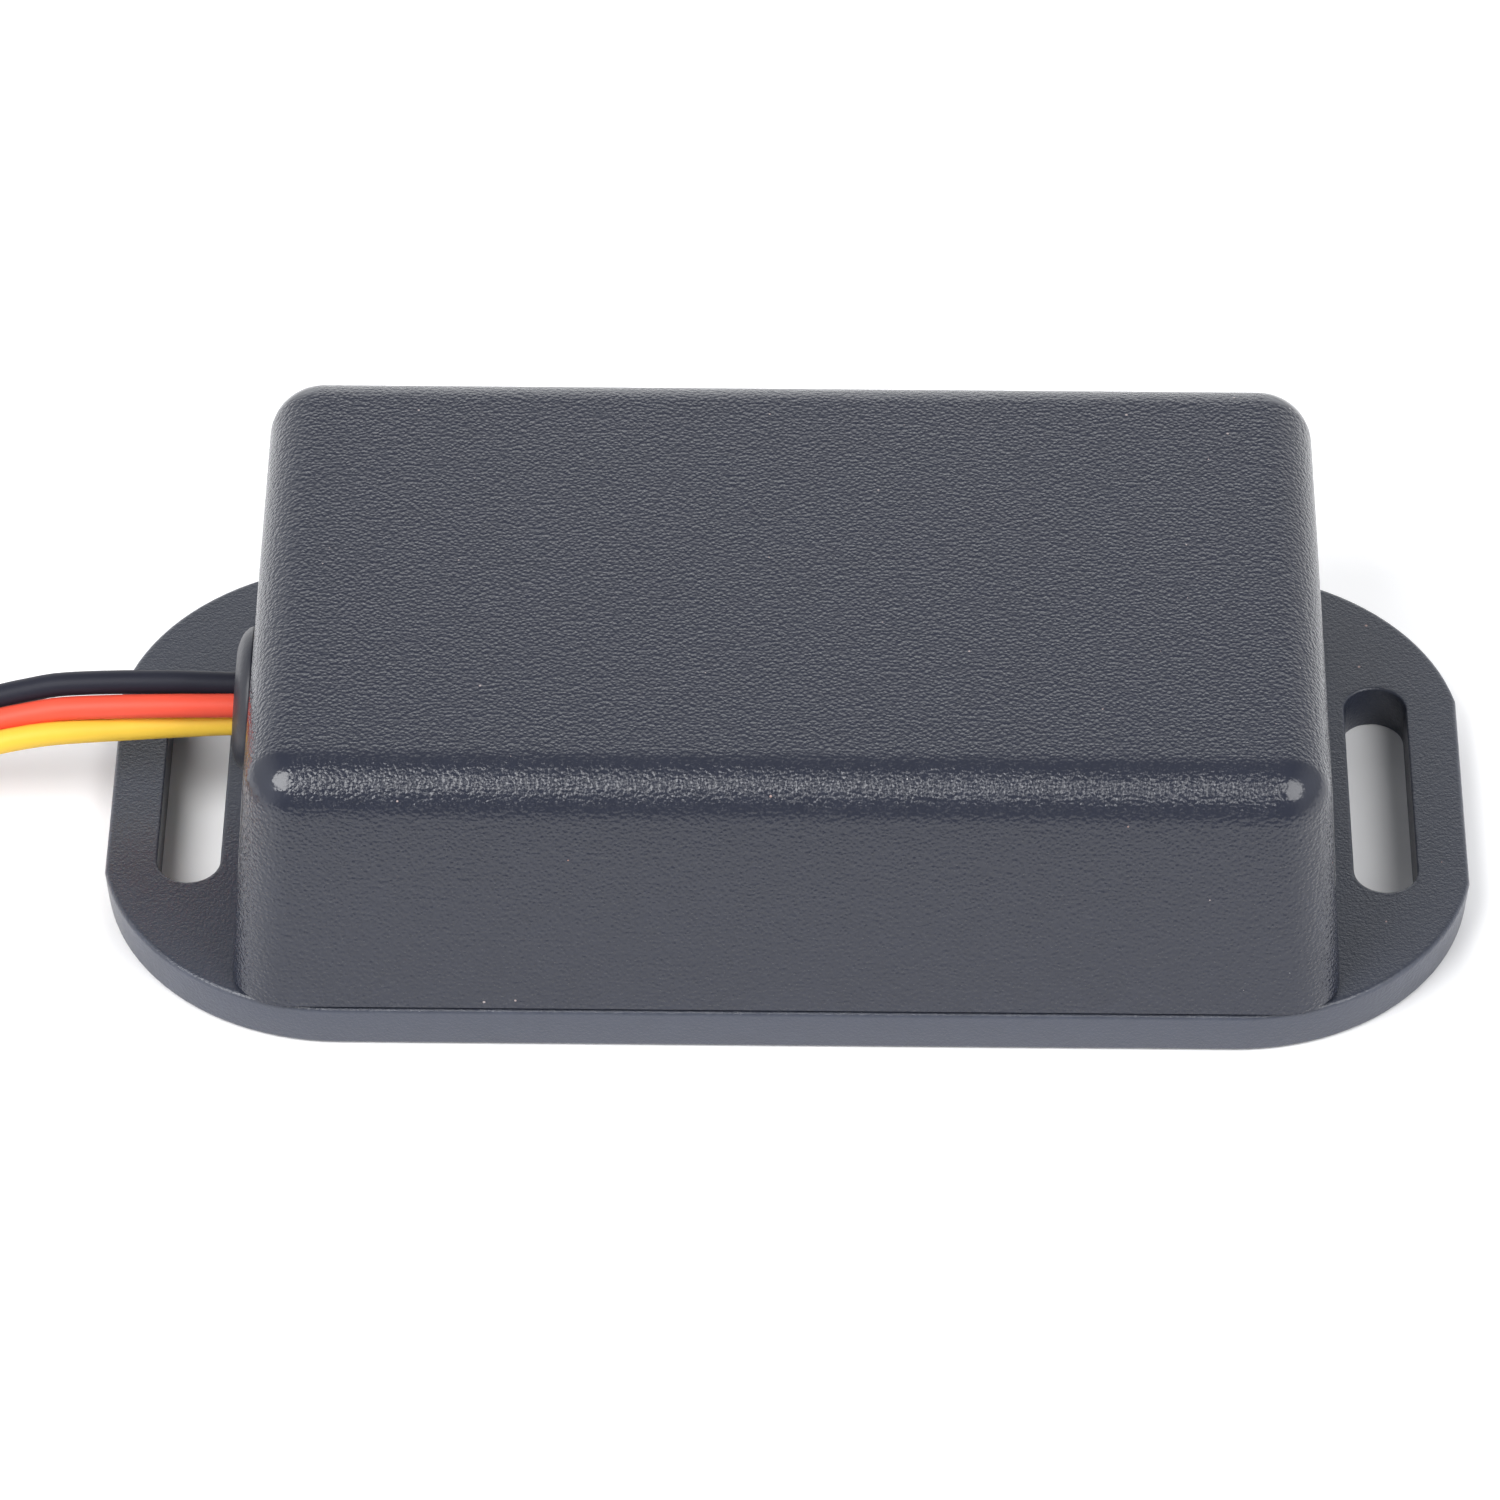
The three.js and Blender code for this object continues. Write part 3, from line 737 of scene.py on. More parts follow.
(tailStart, tail), tipRadius = leadShape["tail"], leadShape["tipRadius"] * mm
spacing, tipSpacing = leadShape["spacing"]
for name in ("black", "red", "yellow"):
    route = leadRoutes[name] + coilPoints(name, leadShape) + tailPoints(name, leadShape, tailStart, tail)
    path = smoothRoute(route, spacing)
    wire = carried(path, leadSection(path, leadShape["radius"] * mm))
    lead = makePiece("lead_wire_" + name, [wire], scale=1.0)
    tipRoute = tailPoints(name, leadShape, tail - leadShape["tipOverlap"], tail + leadShape["strip"])
    tipPath = smoothRoute(tipRoute, tipSpacing)
    strands = carried(tipPath, strandTwist(tipPath, tipRadius))
    tipPiece = makePiece("tinned_end_" + name, [strands], scale=1.0)
    standsFor = ["lead_" + name, "lead_tail_" + name] + (["lead_coil"] if name == "red" else [])
    settle(lead, "base", "lead_pvc_" + name, replaces=standsFor)
    settle(tipPiece, "base", "solder_tin", replaces=["lead_tip_" + name])
    print("lead", name, "runs", round(float(runAlong(path)[-1]) / mm, 1), "mm")


# tie: a thin band round the bundle, its two ends twisted together
tieShape = {
    "thickness": 0.4,
    "width": 2.3,
    "bottom": 0.28,
    "height": 3.5,
    "gap": 0.5,  # between the bundle and the band's middle line
    "endLength": 7.2,
    "endBar": (0.9, 0.36),
    "endOffset": 0.28,
    "endTurns": 2.5,
    "endZ": (1.55, 1.2),  # at the band and at the tip
}


def tieBand(shape, lead):
    # the band's middle line is a rounded loop in the plane of radius and height, and its section is a
    # flat bar carried round it; worked out along +X and then turned to the tie's angle
    radii = lead["coilRadii"]
    inner = radii["yellow"] - lead["radius"] - shape["gap"]
    outer = radii["black"] + lead["radius"] + shape["gap"]
    loop = roundedLoop((outer - inner) / 2, shape["height"] / 2, 1.0, 8, 8)[0]
    radial = (inner + outer) / 2 + loop[:, 0]
    height = shape["bottom"] + shape["height"] / 2 + loop[:, 1]
    centre = np.stack([radial, np.zeros_like(radial), height], -1)
    ahead = np.roll(centre, -1, 0) - np.roll(centre, 1, 0)
    ahead /= np.linalg.norm(ahead, axis=1)[:, None]
    across = np.broadcast_to([0, 1.0, 0], centre.shape)
    rings = swept(centre, bar(shape["width"], shape["thickness"]), across, np.cross(across, ahead))
    return rings.reshape(-1, 3), closedFaces(*rings.shape[:2])[:, ::-1].tolist()


def tieEnds(shape, lead):
    # two thin strips that wind about each other: centre offset and bar both turn along the way out
    start = lead["coilRadii"]["black"] + lead["radius"] + shape["gap"] + 0.1
    s = np.linspace(0, 1, 60)
    none = np.zeros_like(s)
    offset, (high, low) = shape["endOffset"], shape["endZ"]
    straight = np.stack([start + shape["endLength"] * s, none, high + (low - high) * s], -1)
    shapes = []
    for phase in (0.0, np.pi):
        turn = phase + 2 * np.pi * shape["endTurns"] * s
        out = np.stack([none, np.cos(turn), np.sin(turn)], -1)
        across = np.stack([none, -np.sin(turn), np.cos(turn)], -1)
        middle = straight + offset * out
        shapes.append(stacked(swept(middle, bar(*shape["endBar"]), across, out), middle[0], middle[-1]))
    return shapes


tieAt = (*leadShape["coilCentre"], 0.0)
tieShapes = [tieBand(tieShape, leadShape)] + tieEnds(tieShape, leadShape)
tie = makePiece("twist_tie", [moved(s, leadShape["tieAngle"], tieAt) for s in tieShapes])
settle(tie, "base", "tie_plastic", replaces=["coil_tie"])
print("leads and tie made")


# cover: walls that lean in, a round top edge, hollow below, open towards the grommet
coverShape = {
    "half": (32.0, 19.3),
    "foot": 3.28,
    "top": 19.8,
    "lean": 4.4,  # degrees
    "wall": 1.8,
    "corner": 3.2,
    "innerCorner": 1.8,
    "edge": 3.0,
    "innerEdge": 1.4,
    "rings": [0.12, 0.5, 2.0, 6.0, 11.0, 15.0],  # how far the flat loops lie inside the rounding's end
    "bossAt": (27.8, 15.1),
    "bossRadius": 2.7,
    "bossRoot": (0.3, 0.6, 2.2),  # the boss's top: into the ceiling, narrower by, along
    "bossBore": 1.3,
    "bossBoreTop": 12.5,
    "notchHalf": 4.5,
    "seatRadius": 3.4,
    "seatZ": 9.5,
}


def leaningRows(shape, inset, top, edge, corner, steps):
    # rows of one leaning shell from foot to top centre: on the wall the half sizes shrink by
    # tan(lean) times the height; over the rounding they follow centre + edge (cos a, sin a), with a
    # from the lean to 90 degrees; then flat loops close in on the middle
    lean = math.radians(shape["lean"])
    hx, hy = shape["half"]
    foot = shape["foot"]
    wallTop = top - edge
    topTangent = wallTop + edge * math.sin(lean)
    z = foot + (topTangent - foot) * np.linspace(0, 1, 7)
    out = -math.tan(lean) * (z - foot) - inset
    radius = np.full(len(z), corner)
    centre = -math.tan(lean) * (wallTop - foot) - inset - edge / math.cos(lean)
    a = np.linspace(lean, np.pi / 2, steps + 1)[1:]
    z = np.concatenate([z, wallTop + edge * np.sin(a)])
    bend = centre + edge * np.cos(a)
    radius = np.concatenate([radius, np.maximum(corner + bend - out[-1], 0.12)])
    out = np.concatenate([out, bend])
    flat = np.array(shape["rings"])
    flat = flat[flat < hy + out[-1] - 0.3]
    z = np.concatenate([z, np.full(len(flat), top)])
    radius = np.concatenate([radius, np.full(len(flat), radius[-1])])
    out = np.concatenate([out, out[-1] - flat])
    return hx + out, hy + out, radius, z


def coverShell(shape, corner=10, straight=12):
    # one closed surface: up the inside the rows run backwards, so it starts at the ceiling's middle,
    # comes down to the foot, turns over its rim and goes up the outside
    wall, top = shape["wall"], shape["top"]
    inner = leaningRows(shape, wall, top - wall, shape["innerEdge"], shape["innerCorner"], 6)
    outer = leaningRows(shape, 0.0, top, shape["edge"], shape["corner"], 14)
    hx, hy, r, z = (np.concatenate([a[::-1], b]) for a, b in zip(inner, outer))
    rings = atHeights(roundedLoop(hx, hy, r, corner, straight), z)
    return stacked(rings, (0, 0, top - wall), (0, 0, top))


def pillar(x, y, radius, bottom, top, sides=40, edge=0.0):
    # an upright round bar, its two rims softened by edge
    profile = [[0, bottom], [radius, bottom], [radius, top], [0, top]]
    return revolved(softened(profile, edge) if edge else profile, sides, (x, y, 0))


def slab(low, high, corner=0.05):
    # a block between two corners with a small radius on its upright edges
    low, high = np.asarray(low, float), np.asarray(high, float)
    half = (high - low) / 2
    middle = (low + half)[:2]
    rings = atHeights(roundedLoop(np.full(2, half[0]), half[1], corner, 2, 1), [low[2], high[2]])
    rings[..., :2] += middle
    return stacked(rings, (*middle, low[2]), (*middle, high[2]))


def sideways(shape, x, z):
    # lays an upright shape along +X at the given height
    points, faces = shape
    return np.stack([points[:, 2] + x, points[:, 1], -points[:, 0] + z], -1), faces


def seatCut(shape):
    # the round seat of the grommet, as a bar that runs through the wall
    end = -shape["half"][0] + 1
    return sideways(pillar(0, 0, shape["seatRadius"], -4, 4, 48), end, shape["seatZ"])


def bossSpots(shape):
    x, y = shape["bossAt"]
    return [(sx * x, sy * y) for sx in (1, -1) for sy in (1, -1)]


def makeCover(shape):
    # the shell with its bosses joined on, then the bores, the notch and the seat cut out
    cover = makePiece("cover_shell", [coverShell(shape)])
    into, narrower, along = shape["bossRoot"]
    top = shape["top"] - shape["wall"] + into
    radius, foot = shape["bossRadius"], shape["foot"]
    tower = [[0, foot], [radius, foot], [radius, top - along], [radius - narrower, top], [0, top]]
    bosses = [makePiece("boss", [revolved(tower, 40, (x, y, 0))]) for x, y in bossSpots(shape)]
    combined(cover, bosses, "UNION")
    end, half = -shape["half"][0], shape["notchHalf"]
    bore, boreTop = shape["bossBore"], shape["bossBoreTop"]
    cuts = [pillar(x, y, bore, foot - 1, boreTop, 24) for x, y in bossSpots(shape)]
    cuts += [slab((end - 2, -half, 0), (end + 4.5, half, shape["seatZ"])), seatCut(shape)]
    combined(cover, [makePiece("cut", [c]) for c in cuts], "DIFFERENCE")
    markSurface(cover, markShape)
    return cover


settle(makeCover(coverShape), "cover", "housing_plastic", replaces=["cover"])
print("cover made")


# base plate: ears with slots, ribs inside the cover's walls, posts for the board, and a tongue
baseShape = {
    "half": (40.0, 19.3),
    "thick": 3.0,
    "earRadius": 14.4,
    "earCentreX": 25.9,
    "topEdge": 0.3,
    "bottomEdge": 0.35,
    "border": 0.15,  # flat loop inside each rounded edge
    "draft": 0.24,
    "slotX": 35.1,
    "slotHalf": 1.85,
    "slotStraight": 6.9,
    "slotLip": 0.15,
    "slotBorder": 0.12,
    "root": 2.5,  # where ribs and posts start, inside the plate
    "ribTop": 4.5,
    "ribThick": 1.2,
    "ribHalf": (20.0, 9.0),  # along the sides, along the end
    "play": 0.3,  # between the cover and what stands inside it
    "postRadius": 2.5,
    "postBore": 1.1,
    "posts": [(-18.5, 12), (-18.5, -12), (20.5, 12), (20.5, -12)],
    "postTop": 6.1,
    "screwWay": [(0, -1), (3.6, -1), (3.6, 0), (2.9, 0), (1.6, 1.5), (1.6, 4), (0, 4)],
}


def plateLoops(shape, inset, corner=22):
    # four big arcs about (+-centreX, +-centreY), each cut short where it meets the flat end; one loop for
    # each inset
    inset = np.atleast_1d(np.asarray(inset, float))[:, None]
    radius = shape["earRadius"] - inset
    centreX = shape["earCentreX"]
    centreY = shape["half"][1] - shape["earRadius"]
    start = np.arccos((shape["half"][0] - inset - centreX) / radius)
    share = np.linspace(0, 1, corner + 1)
    quarter = np.pi / 2
    arcs = []
    for k, (sx, sy) in enumerate(cornerSigns):
        first = start if k % 2 == 0 else np.zeros_like(start)
        last = np.full_like(start, quarter) if k % 2 == 0 else quarter - start
        a = k * quarter + first + (last - first) * share
        arcs.append(np.stack([sx * centreX + radius * np.cos(a), sy * centreY + radius * np.sin(a)], -1))
    return joinedArcs(arcs, [16, 4, 16, 4])


def slotLoops(shape, grow, side, corner=10):
    # a stadium about the slot's centre line, grown outwards; one loop for each entry of grow
    grow = np.atleast_1d(np.asarray(grow, float))
    half = shape["slotHalf"] + grow
    loops = roundedLoop(half, shape["slotStraight"] + half, half * 0.9999, corner, 6)
    loops[..., 0] += side * shape["slotX"]
    return loops


def plateSlab(shape):
    # outer wall and slot walls as stacked loops, and flat faces between them from a triangulation
    thick, low, high, lip = shape["thick"], shape["bottomEdge"], shape["topEdge"], shape["slotLip"]
    a = np.linspace(0, np.pi / 2, 6)
    first, last = [low + shape["border"]], [high + shape["border"]]
    inset = np.concatenate([first, low * (1 - np.sin(a)), high * (1 - np.cos(a)), last])
    z = np.concatenate([[0], low * (1 - np.cos(a)), thick - high * (1 - np.sin(a)), [thick]])
    inset = inset + shape["draft"] * (1 - z / thick)  # the side leans in towards its foot
    outer = atHeights(plateLoops(shape, inset), z)
    border = [lip + shape["slotBorder"]]
    grow = np.concatenate([border, lip * (1 - np.sin(a)), lip * (1 - np.cos(a)), border])
    depth = np.concatenate([[0], lip * (1 - np.cos(a)), thick - lip * (1 - np.sin(a)), [thick]])
    slots = [atHeights(slotLoops(shape, grow, side), depth) for side in (1, -1)]
    shapes = [stacked(outer)]
    for rings in slots:
        points, faces = stacked(rings)
        shapes.append((points, [face[::-1] for face in faces]))
    for row, up in ((0, False), (-1, True)):
        rims = [outer[row], slots[0][row], slots[1][row]]
        flat = np.concatenate(rims)
        edges, count = [], 0
        for rim in rims:
            edges += [(count + i, count + (i + 1) % len(rim)) for i in range(len(rim))]
            count += len(rim)
        spots = [Vector(p[:2]) for p in flat]
        found = delaunay_2d_cdt(spots, edges, [], 0, 1e-7)
        points = np.array([(*p, flat[0][2]) for p in found[0]])
        faces = [list(f) for f in found[2]]
        middles = np.array([points[f].mean(0) for f in faces])
        off = np.abs(np.abs(middles[:, 0]) - shape["slotX"])
        reach = np.hypot(off, np.maximum(np.abs(middles[:, 1]) - shape["slotStraight"], 0))
        keep = reach > shape["slotHalf"] + lip + 0.1
        shapes.append((points, [f if up else f[::-1] for f, k in zip(faces, keep) if k]))
    return shapes


def mergeClose(piece, distance):
    # joins points that lie on each other
    work = bmesh.new()
    work.from_mesh(piece.data)
    bmesh.ops.remove_doubles(work, verts=work.verts, dist=distance)
    work.to_mesh(piece.data)
    work.free()


def makeBase(shape, cover):
    # the plate with ribs and posts joined on, and a tongue that is the part of the cover's own shell which
    # fills its notch; then the screw ways, the posts' bores and the seat cut out
    base = makePiece("mounting_base", plateSlab(shape))
    mergeClose(base, 1e-6)
    thick, play, root = shape["thick"], shape["play"], shape["root"]
    rib, top = shape["ribThick"], shape["ribTop"]
    lean = math.tan(math.radians(cover["lean"])) * (top - thick)
    outX, outY = (half - cover["wall"] - lean - play for half in cover["half"])
    alongX, alongY = shape["ribHalf"]
    solids = [
        slab((-alongX, outY - rib, root), (alongX, outY, top), 0.4),
        slab((-alongX, -outY, root), (alongX, rib - outY, top), 0.4),
        slab((outX - rib, -alongY, root), (outX, alongY, top), 0.4),
    ]
    post = shape["postRadius"], root, shape["postTop"], 40, 0.25
    solids += [pillar(x, y, *post) for x, y in shape["posts"]]
    tongue = makePiece("tongue", [coverShell(cover)])
    end, half = -cover["half"][0], cover["notchHalf"] - play
    space = makePiece("space", [slab((end - 1, -half, root), (end + 7, half, cover["seatZ"] - play))])
    combined(tongue, [space], "INTERSECT")
    combined(base, [makePiece("rib", [s]) for s in solids] + [tongue], "UNION")
    cuts = [revolved(shape["screwWay"], 40, (x, y, 0)) for x, y in bossSpots(cover)]
    drilled = (shape["posts"][0], shape["posts"][3])
    cuts += [pillar(x, y, shape["postBore"], thick + 0.4, 8, 20) for x, y in drilled]
    cuts += [seatCut(cover)]
    combined(base, [makePiece("cut", [c]) for c in cuts], "DIFFERENCE")
    markSurface(base, markShape)
    return base


settle(makeBase(baseShape, coverShape), "base", "housing_plastic", "base_plastic", ["base_plate"])
print("base plate made")


# grommet: a ring of rubber with two heads and a groove, hollow where the leads pass
grommetShape = {
    "profile": [
        [2.35, -2.7],
        [3.5, -2.95],
        [4.0, -2.5],
        [4.0, -1.95],
        [3.1, -1.95],
        [3.1, 0.05],
        [4.3, 0.05],
        [4.2, 0.35],
        [3.8, 0.72],
        [3.1, 0.98],
        [2.42, 1.05],
        [2.3, 0.7],
    ],
    "soft": 0.3,
    "sides": 64,
}


def makeGrommet(shape, cover):
    # the profile's ring closes on itself: it is turned about the grommet's axis, which stands square
    # to the leaning wall, with distance 0 at the wall's outer face
    p = np.array(shape["profile"])
    double = np.concatenate([p[-1:], p, p[:1]])
    ring = softened(double, shape["soft"], 5)[1:-1]
    points = turnedRings(ring, shape["sides"]).reshape(-1, 3)
    faces = closedFaces(len(ring), shape["sides"])
    lean = math.radians(cover["lean"])
    axis = np.array([-math.cos(lean), 0, math.sin(lean)])
    across = np.array([0, 1.0, 0])
    rise = np.cross(axis, across)
    wall = -cover["half"][0] + math.tan(lean) * (cover["seatZ"] - cover["foot"])
    at = np.array([wall, 0, cover["seatZ"]])
    points = at + points[:, :1] * across + points[:, 1:2] * rise + points[:, 2:] * axis
    turned = np.linalg.det(np.stack([across, rise, axis]))
    return makePiece("wire_grommet", [(points, (faces if turned > 0 else faces[:, ::-1]).tolist())], 60)


settle(makeGrommet(grommetShape, coverShape), "base", "grommet_rubber", replaces=["cable_grommet"])
print("grommet made")


# circuit board: the CAD slab stays, with raised tracks, tinned pads and printed outlines on it
boardTop = 7.8
partFoot = 7.9  # height of the parts' undersides

packages = {
    "controller_chip": {
        "at": (7.5, 4.5), "turn": 0, "size": (4.9, 3.9, 1.5), "feet": (4, 4), "wide": (0.42, 0.42),
        "pitch": 1.27, "reach": 1.0, "leg": 0.2, "dimple": (-1.85, -1.35),
    },
    "power_transistor": {
        "at": (14.5, -6.5), "turn": -90, "size": (6.6, 6.1, 2.3), "feet": (1, 2), "wide": (5.3, 0.8),
        "pitch": 4.56, "reach": 1.6, "leg": 0.45,
    },
    "voltage_regulator": {
        "at": (-3, -1.5), "turn": 90, "size": (6.5, 3.5, 1.6), "feet": (1, 3), "wide": (3.0, 0.7),
        "pitch": 2.3, "reach": 1.7, "leg": 0.26,
    },
    "protection_diode": {
        "at": (-10.5, -6.5), "turn": 0, "size": (2.6, 4.3, 2.0), "feet": (1, 1), "wide": (1.5, 1.5),
        "pitch": 1.0, "reach": 0.4, "leg": 0.22,
    },
}
chipParts = {
    "resettable_fuse": {"at": (-10.5, 1.2), "turn": 90, "size": (4.6, 3.3, 1.1), "slot": "fuse_polymer"},
}
for i, at in enumerate(((1.8, 7.5), (13.4, 9.2)), 1):
    look = {"at": at, "turn": 0, "size": (2, 1.25, 0.9), "slot": "capacitor_ceramic"}
    chipParts[f"ceramic_capacitor_{i}"] = look
for i, at in enumerate(((2.4, -4.2), (2.4, -6.6), (5.8, -4.2), (5.8, -6.6)), 1):
    chipParts[f"chip_resistor_{i}"] = {"at": at, "turn": 0, "size": (2, 1.25, 0.55), "slot": "chip_epoxy"}
solderSpots = {"black": (-16.6, 4.6), "red": (-16.6, 0.0), "yellow": (-16.6, -4.6)}
capacitorAt = (-4.0, 9.0)
boardScrewAt = [(-18.5, 12.0), (20.5, -12.0)]

# tracks: width in mm, then the corners they pass
tracks = [
    (1.5, [(-16.6, 4.6), (-13.0, 4.6), (-10.9, 6.7), (-8.4, 6.7), (-6.1, 9.0)]),
    (1.5, [(-16.6, 0.0), (-14.0, 0.0), (-12.9, -1.1), (-10.5, -1.1)]),
    (1.3, [(-10.5, 3.5), (-8.2, 3.5), (-4.6, 7.1), (-2.0, 8.6)]),
    (1.3, [(-16.6, -4.6), (-14.6, -6.6), (-14.6, -8.2), (-13.8, -9.0), (-10.5, -9.0)]),
    (1.3, [(-10.5, -9.0), (-8.9, -10.6), (6.5, -10.6), (8.3, -8.8), (10.2, -8.8)]),
    (0.6, [(-10.5, -4.0), (-9.1, -2.6), (-7.6, -2.6), (-6.6, -1.6), (-5.6, -1.5)]),
    (0.5, [(-0.3, 0.8), (1.2, 2.3), (1.2, 5.2), (2.6, 6.6), (2.6, 7.5)]),
    (0.32, [(5.6, 1.85), (5.6, 0.2), (1.6, -3.8), (1.6, -4.2)]),
    (0.32, [(6.87, 1.85), (6.87, -1.2), (6.6, -1.5), (6.6, -4.2)]),
    (0.32, [(8.13, 1.85), (8.13, -5.2), (6.7, -6.6)]),
    (0.32, [(9.4, 1.85), (9.4, -3.0), (10.2, -4.2)]),
    (0.32, [(5.6, 7.15), (5.3, 7.5), (2.6, 7.5)]),
    (0.32, [(9.4, 7.15), (9.4, 7.9), (10.7, 9.2), (12.6, 9.2)]),
    (0.32, [(8.13, 7.15), (8.13, 10.9), (7.0, 12.0), (-12.0, 12.0), (-13.6, 10.4)]),
    (0.32, [(14.2, 9.2), (16.6, 9.2), (19.6, 6.2), (19.6, -1.0), (18.4, -2.2)]),
    (0.32, [(3.2, -4.2), (4.1, -4.2), (5.0, -4.2)]),
    (0.32, [(3.2, -6.6), (5.0, -6.6)]),
    (0.32, [(1.6, -6.6), (0.6, -7.6), (-4.2, -7.6), (-6.0, -5.8)]),
]
vias = [
    (-13.6, 10.4), (-6.0, -5.8), (18.4, -2.2), (12.4, 2.6),
    (13.6, 1.4), (0.4, -12.8), (15.6, 12.4), (-20.0, 7.4),
]
dimpleCut = (0.32, 0.08)  # radius, depth
printLine = (0.16, 0.03)  # width, height
viaProfile = [[0, -0.01], [0.42, -0.01], [0.42, 0.03], [0.18, 0.03], [0.12, 0.0], [0, 0.0]]


def cushion(halfX, halfY, rise, at, turn=0.0, low=0.0):
    # a flat pad with a swelling top: loops shrink by s while the height follows rise * (1 - s^4)
    s = np.array([1.0, 1.0, 0.96, 0.88, 0.74, 0.5, 0.25])
    z = low + np.concatenate([[0], 0.02 + rise * (1 - s[1:] ** 4)])
    rings = atHeights(roundedLoop(halfX * s, halfY * s, min(halfX, halfY) * 0.35 * s, 3, 2), z)
    return moved(stacked(rings, (0, 0, low), (0, 0, low + 0.02 + rise)), turn, at)


def flatLine(corners, width, thick, z, bend=0.25):
    # a flat bar carried along a broken line with softened corners
    path = softened(corners, bend)
    step = np.linalg.norm(np.diff(path, axis=0), axis=1)
    path = path[np.concatenate([[True], step > 1e-4])]
    path = np.concatenate([path, np.full((len(path), 1), z)], 1)
    return carried(path, bar(width, thick))


def mouldedBody(size, taper=0.12, stand=0.15, corner=0.24):
    # a package body: loops widen to half height and narrow again, with softened upper and lower edges
    x, y, z = size
    rows = softened([[0.5, 0], [taper, 0], [0, 0.5 * z], [taper, z], [0.5, z]], 0.09, 3)
    inset = rows[:, 0]
    loops = roundedLoop(x / 2 - inset, y / 2 - inset, np.maximum(corner - inset, 0.03), 4, 2)
    return stacked(atHeights(loops, stand + rows[:, 1]), (0, 0, stand), (0, 0, stand + z))


def feetOf(look):
    # for each foot of a package: its side, its place along that side, and its width
    for side, count, wide in zip((1, -1), look["feet"], look["wide"]):
        for i in range(count):
            yield side, (i - (count - 1) / 2) * look["pitch"], wide


def packageLegs(look):
    # a leg leaves the body at part height, bends down and lies flat; a tab wider than 5 mm runs straight
    y, z = look["size"][1:]
    reach, thick = look["reach"], look["leg"]
    high, low, tab = 0.15 + 0.45 * z, thick / 2 + 0.01, 0.28
    knee, end = y / 2 + 0.3 * reach, y / 2 + reach
    bent = [(y / 2 - 0.3, high), (knee, high), (knee + 0.15, low), (end, low)]
    straight = [(y / 2 - 0.5, tab), (y / 2 + 0.4 * reach, tab), (end, tab)]
    legs = []
    for side, along, wide in feetOf(look):
        route = softened(straight if wide > 5 else bent, 0.14)
        path = np.stack([np.full(len(route), along), side * route[:, 0], route[:, 1]], -1)
        legs.append(carried(path, bar(wide, thick)))
    return legs


def footPads(look):
    # one pad under each foot
    reach = look["reach"]
    out = look["size"][1] / 2 + 0.68 * reach
    return [
        cushion(wide / 2 + 0.14, 0.36 * reach + 0.3, 0.05, (along, side * out, 0))
        for side, along, wide in feetOf(look)
    ]


def printedRing(inner, outer, sides, at):
    # a flat raised ring on the board
    low, high = -0.01, 0.02
    profile = [[inner, low], [outer, low], [outer, high], [inner, high], [inner, low]]
    return revolved(profile, sides, (*at, boardTop))


padShapes = []
printShapes = []
for name, look in packages.items():
    place = (*look["at"], partFoot)
    body = makePiece(name + "_body", [moved(mouldedBody(look["size"]), look["turn"], place)], 50)
    if "dimple" in look:
        x, y = np.add(look["at"], look["dimple"])
        top = partFoot + 0.15 + look["size"][2]
        radius, depth = dimpleCut
        dimple = makePiece("dimple", [pillar(x, y, radius, top - depth, top + 1, 24)])
        combined(body, [dimple], "DIFFERENCE", 40)
    settle(body, "base", "chip_epoxy", replaces=[name])
    legs = [moved(leg, look["turn"], place) for leg in packageLegs(look)]
    settle(makePiece(name + "_legs", legs, 50), "base", "solder_tin")
    padShapes += [moved(pad, look["turn"], (*look["at"], boardTop - 0.01)) for pad in footPads(look)]
    hx, hy = look["size"][0] / 2 + 0.3, look["size"][1] / 2 + 0.3
    for side in (-1, 1):
        line = flatLine([(side * hx, -hy), (side * hx, 0), (side * hx, hy)], *printLine, 0)
        printShapes.append(moved(line, look["turn"], (*look["at"], boardTop + 0.01)))

capShapes = []
for name, look in chipParts.items():
    x, y, z = look["size"]
    turn, place = look["turn"], (*look["at"], partFoot)
    body = moved(mouldedBody((x - 0.1, y - 0.1, z - 0.06), 0.01, 0.03, 0.1), turn, place)
    settle(makePiece(name + "_body", [body], 50), "base", look["slot"], replaces=[name])
    for side in (-1, 1):
        points, faces = mouldedBody((0.44, y, z), 0.01, 0.0, 0.1)
        capShapes.append(moved((points + [side * (x / 2 - 0.22), 0, 0], faces), turn, place))
        pad = cushion(0.42, y / 2 + 0.12, 0.06, (side * (x / 2 + 0.05), 0, 0))
        padShapes.append(moved(pad, turn, (*look["at"], boardTop - 0.01)))
settle(makePiece("chip_end_caps", capShapes, 50), "base", "solder_tin")

for x, y in solderSpots.values():
    padShapes.append(cushion(1.55, 1.55, 0.04, (x, y, boardTop - 0.01)))
for at in boardScrewAt:
    printShapes.append(printedRing(2.45, 2.6, 40, at))
for x, y in vias:
    padShapes.append(revolved(softened(viaProfile, 0.02, 2), 20, (x, y, boardTop)))
printShapes.append(printedRing(3.55, 3.72, 60, capacitorAt))
printShapes.append(flatLine([(-11.8, -5.0), (-10.5, -5.0), (-9.2, -5.0)], 0.3, 0.03, boardTop + 0.01))
settle(makePiece("board_pads", padShapes, 50), "base", "solder_tin")
trackShapes = [flatLine(corners, width, 0.05, boardTop + 0.012) for width, corners in tracks]
settle(makePiece("board_tracks", trackShapes, 50), "base", "board_laminate", "board_tracks")
settle(makePiece("board_outlines", printShapes, 50), "base", "board_laminate", "board_print")
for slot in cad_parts["circuit_board"].material_slots:
    slot.material = materials["board_laminate"]
print("board and chips made")


